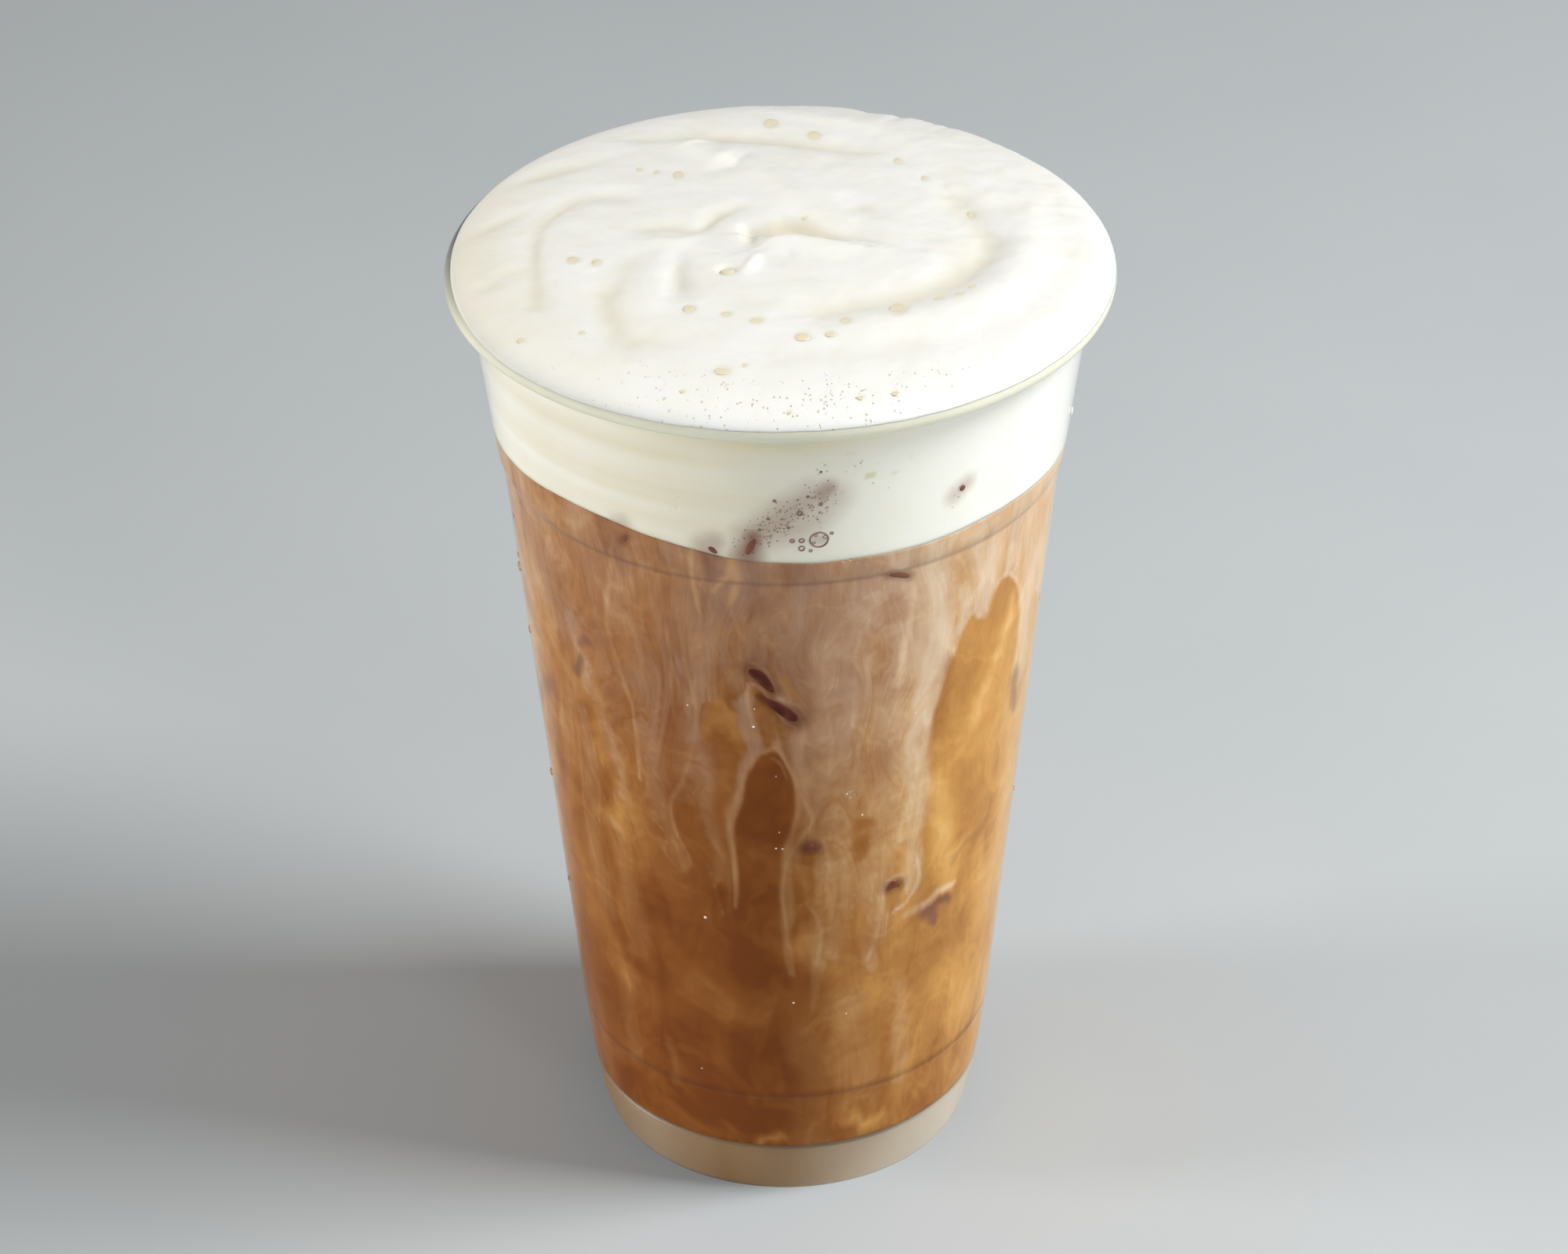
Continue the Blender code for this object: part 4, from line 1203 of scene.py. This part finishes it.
# Brown marks in the foam's side where ice and coffee show through: as the strokes on the coffee
STAINS = (
    ([(-6, 128), (0, 131.6), (6, 135)], 2.4, 2.8, 0.46, 0.95),
    ([(-3, 129), (5, 131.4), (9, 135)], 2.6, 2.6, 0.36, 0.95),
    ([(-6.8, 125), (-5.4, 128.4)], 2.2, 1.7, 0.8, 0.95),
    ([(7.4, 136), (8.4, 136.6)], 1.6, 1.5, 0.7, 0.95),
    ([(6.6, 127.8), (7.4, 127.8)], 0.85, 0.85, 0.36, 0.5),
    ([(36, 131.8), (36.5, 131.4)], 0.45, 0.4, 1.0, 0.9),
    ([(34.6, 130.9), (37.4, 132.2)], 1.5, 1.4, 0.34, 0.95),
    ([(-14.6, 126), (-13, 127)], 2.0, 1.6, 0.46, 0.95),
    ([(-33, 126.6), (-32, 127.2)], 1.5, 1.3, 0.3, 0.95),
)
# Tan bubbles in the foam's side: as the strokes on the coffee
TAN_SPECKS = (
    ([(15.8, 138.2), (16.8, 138.3)], 0.55, 0.55, 0.8, 0.6),
    ([(20.9, 137.9), (21.3, 137.9)], 0.35, 0.35, 0.6, 0.6),
    ([(4.3, 142.9), (4.7, 142.9)], 0.3, 0.3, 0.6, 0.6),
    ([(10.9, 136.1), (11.3, 136.1)], 0.3, 0.3, 0.6, 0.6),
    ([(12.0, 142.6), (13.2, 142.6)], 0.4, 0.4, 0.5, 0.6),
    ([(24.0, 140.2), (24.3, 140.2)], 0.3, 0.3, 0.5, 0.6),
)
# Where the foam's side and front edge fizz with pin bubbles: as the strokes on the coffee
FIZZ = (
    ([(-7, 127), (-2, 131), (6, 134)], 2.8, 3.2, 1.0, 0.7),
    ([(0, 129.4), (8, 131)], 1.6, 1.4, 0.6, 0.9),
    ([(6, 141), (14, 140), (18, 137)], 2.0, 2.6, 0.7, 0.9),
    ([(-26, 135), (-20, 133)], 1.6, 1.4, 0.5, 0.9),
    ([(33, 130), (38, 131)], 1.8, 1.6, 0.8, 0.9),
)


def foam_edge(turn):
    """How far out the foam lies on the rim: over the bead in front and to the right, ragged at the back."""
    outset = BARE_OUTSET + SPILL * eased(-92, -50, turn) * (1 - eased(112, 140, turn))
    back = hump(np.abs(turn), 150, 34) * (turn > 0) + 0.5 * eased(-165, -180, turn)
    lumps = broken_hills(turn, 0 * turn, across=7.0, down=5.0, seed=61, layers=3)
    slips = -0.3 * back + 0.8 * back * lumps + 0.03 * lumps
    return FOAM_EDGE + np.clip(outset + slips, *OUTSET_LIMITS) * MM


def bead_top(radius):
    """The height of the rolled rim's upper side at a radius."""
    centre_r, centre_z = bead_centre()
    return centre_z + np.sqrt(np.maximum(BEAD_RADIUS**2 - np.clip(radius - centre_r, 0, None) ** 2, 0))


def dome(radius, edge):
    """The foam's upper side before its folds."""
    share = np.clip(radius / edge, 0.0, 1.0)
    seat = HEIGHT + (bead_top(edge) - HEIGHT) * share**10
    return seat + FOAM_LIP * np.sqrt(1 - share**14) + FOAM_CROWN * (1 - share**2.2)


def fold_relief(x, y):
    """The height in mm that the folds add to the foam."""
    relief = np.zeros(x.shape)
    for points, left_reach, right_reach, height, roundness in FOLDS:
        line = smooth_line(points)
        nearest, side = np.full(x.shape, FAR), np.zeros(x.shape)
        taper = np.zeros(x.shape)
        for i, (a, b) in enumerate(zip(line, line[1:])):
            share, dx, dy = from_stretch(x, y, a, b)
            gap = np.hypot(dx, dy)
            closer = gap < nearest
            nearest = np.where(closer, gap, nearest)
            side = np.where(closer, (b[0] - a[0]) * dy - (b[1] - a[1]) * dx, side)
            taper = np.where(closer, (i + share) / (len(line) - 1), taper)
        reach = FOLD_SPREAD * np.where(side > 0, left_reach, right_reach)
        swell = FOLD_STRENGTH * (0.6 + 0.4 * np.sin(math.pi * taper))
        relief += height * swell * hump(nearest, 0.0, reach, roundness)
    return relief


def bubble_gaps(x, y):
    """For each bubble, how far each spot is from its middle, in its radii, and the bubble's depth."""
    for bubble_x, bubble_y, across, along, depth in BUBBLES:
        yield np.hypot((x - bubble_x) / across, (y - bubble_y) / along), depth


def foam_relief(x, y):
    """All that is added to the foam's dome, in mm: folds, the bubbles' pits and soft lumps."""
    pits = sum(-PIT_SHARE * depth * hump(gap, 0.0, 0.95, power=4) for gap, depth in bubble_gaps(x, y))
    lumps = 0.11 * broken_hills(x * HILL_SCALE, y, across=22.0, down=6.0, seed=71)
    return fold_relief(x, y) + pits + lumps


def foam_form():
    """The foam's plain form: a domed disc, drawn over its edge and down the wall to the foam line."""
    form = bmesh.new()
    grid = bmesh.ops.create_grid(form, x_segments=FOAM_GRID, y_segments=FOAM_GRID, size=1.0)["verts"]
    for vertex in grid:
        x, y = vertex.co.x, vertex.co.y
        spot = Vector((x * math.sqrt(1 - y * y / 2), y * math.sqrt(1 - x * x / 2), 0.0))
        vertex.co = spot * FOAM_DISC_SHARE * FOAM_EDGE
        vertex.co.z = HEIGHT + FOAM_LIP
    border = [edge for edge in form.edges if edge.is_boundary]
    for radius, height in foam_rings():
        drawn = bmesh.ops.extrude_edge_only(form, edges=border)["geom"]
        border = [part for part in drawn if isinstance(part, bmesh.types.BMEdge)]
        for vertex in {vertex for edge in border for vertex in edge.verts}:
            outward = vertex.co.xy.normalized() * radius
            vertex.co = (outward.x, outward.y, height)
    underside = bmesh.ops.edgeloop_fill(form, edges=border)["faces"]
    bmesh.ops.poke(form, faces=underside)
    bmesh.ops.recalc_face_normals(form, faces=form.faces)
    return form


def foam_rings():
    """The rings (r, z) from the dome's disc over its edge, round the bead's inside and down the wall."""
    disc = FOAM_DISC_SHARE * FOAM_EDGE
    quarters = [0.5 * math.pi * (i + 1) / FOAM_EDGE_RINGS for i in range(FOAM_EDGE_RINGS)]
    edge = [(disc + (FOAM_EDGE - disc) * math.sin(a), HEIGHT + 0.01 * MM) for a in quarters]
    seat = arc(bead_centre(), BEAD_RADIUS - REACH, math.radians(92), math.radians(180), count=5)
    heights = np.linspace(NECK_TOP, FOAM_LINE, FOAM_WALL_RINGS)
    wall = [(float(inner_radius(z)) + REACH, float(z)) for z in heights]
    return [*edge, *seat, *wall]


def from_above(turn, radius):
    """Places on the foam in mm, as seen from above."""
    angle = np.radians(turn)
    return radius * np.sin(angle) / MM, -radius * np.cos(angle) / MM


def milk_foam():
    """The foam, with its folds, its pits and its stains."""
    piece = piece_from("milk_foam", foam_form(), cold_foam())
    turn, radius, height = spots_of(piece)
    above = height > HEIGHT
    edge = foam_edge(turn)
    spread = radius * (1 + (edge / FOAM_EDGE - 1) * np.clip(radius / FOAM_EDGE, 0, 1) ** 8)
    radius = np.where(above, spread, radius)
    relief = foam_relief(*from_above(turn, radius)) * eased(0.0, RELIEF_FADE, edge - radius)
    height = np.where(above, dome(radius, edge) + relief * MM, height)
    below = ~above & (height < RIM_START)
    share = np.clip((NECK_TOP - height) / (NECK_TOP - FOAM_LINE), 0, 1)
    lowered = height + (foam_line(turn) - FOAM_LINE) * share
    at_wall = below & (radius > 0.5 * FOAM_EDGE)
    height = np.where(below, lowered, height)
    radius = np.where(at_wall, inner_radius(lowered) + REACH, radius)
    move_spots(piece, turn, radius, height)
    paint_foam(piece, turn, radius, height, relief * above)
    return piece


def paint_foam(piece, turn, radius, height, relief):
    """Paints the foam's masks: tan as painted shade in its hollows, down its left and front side, across
    the neck and under the rim, tan at its top's left edge, under bubbles and along the foam line, and
    stains and fizz on its side.
    """
    x, y = from_above(turn, radius)
    above = height > HEIGHT - 1.2 * MM
    height = height / MM
    # Painted shade: tan in the hollows of the foam's relief
    hollows = eased(0.05, 1.1, -relief)
    left_edge = hump(turn, -82, 40) * eased(34, 46, radius / MM)
    clouds = broken_hills(x * HILL_SCALE, y, across=40.0, down=11.0, seed=81, layers=3)
    top_tan_and_painted_shade = 0.5 * hollows + 0.3 * left_edge + 0.06 * clouds
    for gap, _ in bubble_gaps(x, y):
        top_tan_and_painted_shade = np.maximum(top_tan_and_painted_shade, 0.35 * hump(gap, 0.0, 1.1, power=4))
    # Painted shade: tan down the side away from the key light, in bands across the neck on that side, at
    # the front and under the rim
    left_painted_shade = 1 - eased(-30, 25, turn) * (1 - eased(110, 160, turn))
    wide_bands = hills(turn, height, across=120.0, down=3.2, seed=33)
    thin_bands = hills(turn, height, across=90.0, down=1.5, seed=34)
    bands = left_painted_shade * (wide_bands + 0.5 * thin_bands)
    lip_painted_shadow = hump(turn, 2, 26) * eased(141, 146, height)
    at_line = hump(height, foam_line(turn) / MM, 0.6)
    side_tan_and_painted_shade = 0.27 * left_painted_shade + 0.25 * hump(turn, -5, 36) + 0.18 * bands
    side_tan_and_painted_shade = side_tan_and_painted_shade + 0.42 * lip_painted_shadow + 0.2 * at_line
    side_tan_and_painted_shade = np.maximum(side_tan_and_painted_shade, painted(turn, height, TAN_SPECKS))
    front = hump(turn, 0, 42) * eased(36, 43, radius / MM)
    keep_mask(piece, "tan", np.where(above, top_tan_and_painted_shade, side_tan_and_painted_shade))
    keep_mask(piece, "stain", painted(turn, height, STAINS) * ~above)
    keep_mask(piece, "fizz", np.where(above, 0.8 * front, painted(turn, height, FIZZ)))


# Rings of coffee round bubbles where the foam meets the wall: turn, height, radius, thickness in mm
SIDE_BUBBLES = (
    (7.0, 127.8, 1.3, 0.13), (8.2, 128.2, 0.3, 0.06), (6.0, 127.3, 0.2, 0.06), (6.4, 128.6, 0.22, 0.06),
    (1.9, 127.8, 0.28, 0.12), (3.7, 127.8, 0.34, 0.12), (3.7, 126.4, 0.4, 0.12), (9.4, 128.8, 0.2, 0.09),
    (3.3, 132.7, 0.34, 0.16), (5.4, 125.9, 0.2, 0.08), (-1.4, 135.0, 0.16, 0.1), (7.2, 134.1, 0.2, 0.1),
    (1.2, 130.2, 0.18, 0.09), (-2.6, 131.8, 0.16, 0.09), (4.8, 135.6, 0.16, 0.09),
    (-4.2, 129.8, 0.16, 0.09), (7.1, 139.8, 0.14, 0.09), (121.0, 128.0, 0.6, 0.12),
    (124.0, 130.0, 0.3, 0.1), (-140.0, 127.5, 0.5, 0.12),
)
PIN_COUNT = 130


def on_wall(form, turn, height, outset):
    """Turns a small form that faces +Z so that it faces out of the cup's wall, and puts it there."""
    radius = float(inner_radius(height)) + outset
    lean = math.atan2(float(inner_radius(height + MM) - inner_radius(height - MM)), 2 * MM)
    matrix = Matrix.Rotation(math.radians(turn), 4, "Z") @ Matrix.Translation((0.0, -radius, height))
    upright = Matrix.Rotation(math.radians(90) + lean, 4, "X")
    bmesh.ops.transform(form, matrix=matrix @ upright, verts=form.verts)
    return form


def joined(name, forms, material):
    """One piece made from many small forms."""
    whole = bmesh.new()
    mesh = bpy.data.meshes.new(name)
    for form in forms:
        form.to_mesh(mesh)
        form.free()
        whole.from_mesh(mesh)
    bpy.data.meshes.remove(mesh)
    bmesh.ops.recalc_face_normals(whole, faces=whole.faces)
    return piece_from(name, whole, material)


def bead(radii, steps=14):
    """A flattened ball."""
    form = bmesh.new()
    bmesh.ops.create_uvsphere(form, u_segments=steps, v_segments=steps // 2 + 1, radius=1.0)
    bmesh.ops.scale(form, vec=radii, verts=form.verts)
    return form


def beads_on_wall(places, outset, flatness, steps=14, tallness=1.0, sunk=0.0):
    """Flattened balls at places (turn, height, radius in mm), each sunk by a share of its radius."""
    forms = []
    for turn, height, radius in places:
        form = bead((radius * MM, radius * tallness * MM, flatness * radius * MM), steps)
        forms.append(on_wall(form, turn, height * MM, outset - sunk * radius * MM))
    return forms


def ice_edge(points, first_half, last_half):
    """A melted edge of ice that lies along a line on the wall and stands a little out of the coffee."""
    form = bmesh.new()
    bmesh.ops.create_uvsphere(form, u_segments=16, v_segments=22, radius=1.0)
    line = smooth_line(points)
    spread = np.linspace(0, 1, len(line))
    degree = degree_at(points[0][1])
    along = Vector(((line[-1][0] - line[0][0]) * degree, line[-1][1] - line[0][1])).normalized()
    for vertex in form.verts:
        done = math.acos(max(-1.0, min(1.0, vertex.co.z))) / math.pi
        half = (first_half + (last_half - first_half) * done) * math.sin(math.pi * done) ** 0.4
        ring = vertex.co.xy.normalized() if half > 1e-4 else Vector((0.0, 0.0))
        turn = np.interp(done, spread, line[:, 0]) - along.y * ring.x * half / degree
        height = (np.interp(done, spread, line[:, 1]) + along.x * ring.x * half) * MM
        radius = float(inner_radius(height)) + REACH + (ICE_DEPTH * half * ring.y - 0.02) * MM
        vertex.co = (radius * math.sin(math.radians(turn)), -radius * math.cos(math.radians(turn)), height)
    return form


def ice_edges():
    """The ice under the coffee's surface, of which only melted edges show at the wall."""
    return joined("ice_edges", [ice_edge(*edge[:3]) for edge in ICE], sunken_ice())


def water_drops():
    """Drops on the outside of the cup, each sunk a little into the wall."""
    forms = beads_on_wall(DROPS, outset=WALL, flatness=0.45, tallness=1.1, sunk=0.05)
    return joined("water_drops", forms, water_drop())


def glint_specks():
    """White specks on the coffee's surface: painted glints."""
    return joined("glint_specks", beads_on_wall(SPECKS, REACH, flatness=0.5, steps=10), glint_speck())


def pin_places(draw):
    """Places for the pin bubbles that lie along the stain in the foam's side, over the ice."""
    places = []
    for _ in range(PIN_COUNT):
        share = draw.uniform(0, 1)
        turn = -7.0 + 15.5 * share + draw.normal(0, 1.8)
        height = 127.4 + 8.8 * share + draw.normal(0, 1.5)
        places.append((turn, max(height, 125.6), draw.uniform(0.06, 0.15)))
    return places


def side_bubbles():
    """Rings round the bubbles that the foam presses against the wall, with pin bubbles among them."""
    pins = pin_places(np.random.default_rng(PIN_SEED))
    forms = beads_on_wall(pins, REACH, flatness=0.5, steps=8)
    for turn, height, radius, thickness in SIDE_BUBBLES:
        outline = arc((radius * MM, 0.0), thickness * MM, 0.0, 2 * math.pi, count=8)
        forms.append(on_wall(turned(outline, steps=24), turn, height * MM, REACH))
    return joined("side_bubbles", forms, bubble_ring())


def top_bubbles(foam):
    """The shining skins of the bubbles in the foam's top, each set in its pit."""
    spots = np.array([vertex.co for vertex in foam.data.vertices])
    top = spots[spots[:, 2] > HEIGHT]
    forms = []
    for x, y, across, along, depth in BUBBLES:
        nearest = np.argsort(np.hypot(top[:, 0] - x * MM, top[:, 1] - y * MM))[:4]
        seat = top[nearest, 2].mean()
        form = bead((0.95 * across * MM, 0.95 * along * MM, 0.25 * depth * MM))
        bmesh.ops.translate(form, vec=(x * MM, y * MM, seat), verts=form.verts)
        forms.append(form)
    return joined("top_bubbles", forms, bubble_skin())


def camera():
    """Looks at the cup from a little above, as the photograph does."""
    rise, roll = math.radians(CAMERA_RISE), math.radians(CAMERA_ROLL)
    forward = Vector((0.0, math.cos(rise), -math.sin(rise)))
    up = Vector((0.0, math.sin(rise), math.cos(rise)))
    right = Vector((1.0, 0.0, 0.0))
    across = right * math.cos(roll) + up * math.sin(roll)
    upward = up * math.cos(roll) - right * math.sin(roll)
    lens = bpy.data.cameras.new("camera")
    lens.lens = LENS
    lens.sensor_width = SENSOR
    lens.clip_start, lens.clip_end = 0.05, 20.0
    place = Matrix.Translation(Vector(AIM) - forward * CAMERA_DISTANCE)
    facing = Matrix((across, upward, -forward)).transposed().to_4x4()
    eye = bpy.data.objects.new("camera", lens)
    eye.matrix_world = place @ facing
    bpy.context.scene.collection.objects.link(eye)
    bpy.context.scene.camera = eye


def soft_light(name, turn, rise, size, watts, colour, spread):
    """A square light that faces the cup. One with a narrowed spread shows in no reflection."""
    around, up = math.radians(turn), math.radians(rise)
    way = Vector((math.sin(around) * math.cos(up), -math.cos(around) * math.cos(up), math.sin(up)))
    lamp = bpy.data.lights.new(name, "AREA")
    lamp.shape = "SQUARE"
    lamp.size = size
    lamp.energy = watts
    lamp.color = colour
    lamp.spread = math.radians(spread)
    light = bpy.data.objects.new(name, lamp)
    light.location = Vector((0, 0, 0.6 * HEIGHT)) + way * LIGHT_DISTANCE
    light.rotation_euler = way.to_track_quat("Z", "Y").to_euler()
    light.visible_glossy = spread == 180
    bpy.context.scene.collection.objects.link(light)


def studio():
    """A pale floor, an even surround, a key light high on the right, and low ones left and front right."""
    form = bmesh.new()
    bmesh.ops.create_circle(form, cap_ends=True, segments=96, radius=FLOOR_RADIUS)
    floor = piece_from("floor", form, pale_floor())
    world = bpy.data.worlds.new("surround")
    world.use_nodes = True
    background = world.node_tree.nodes["Background"]
    background.inputs["Color"].default_value = SURROUND_COLOUR
    background.inputs["Strength"].default_value = SURROUND_STRENGTH
    world.cycles_visibility.glossy = False
    bpy.context.scene.world = world
    for name, settings in LIGHTS.items():
        soft_light(name, *settings)
    bpy.context.scene.view_settings.view_transform = "Standard"


def build():
    """Makes the object's pieces, and sets the three large ones in place of their solids."""
    foam = milk_foam()
    for piece, node, slot in (
        (tumbler(), "cup", "clear_plastic"),
        (iced_coffee(), "drink", "coffee"),
        (foam, "foam", "milk_foam"),
        (ice_edges(), None, "coffee"),
        (glint_specks(), None, "milk_foam"),
        (side_bubbles(), None, "milk_foam"),
        (top_bubbles(foam), None, "milk_foam"),
        (water_drops(), None, "clear_plastic"),
    ):
        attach(piece, "root")
        if node:
            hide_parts(node)


camera()
studio()
build()
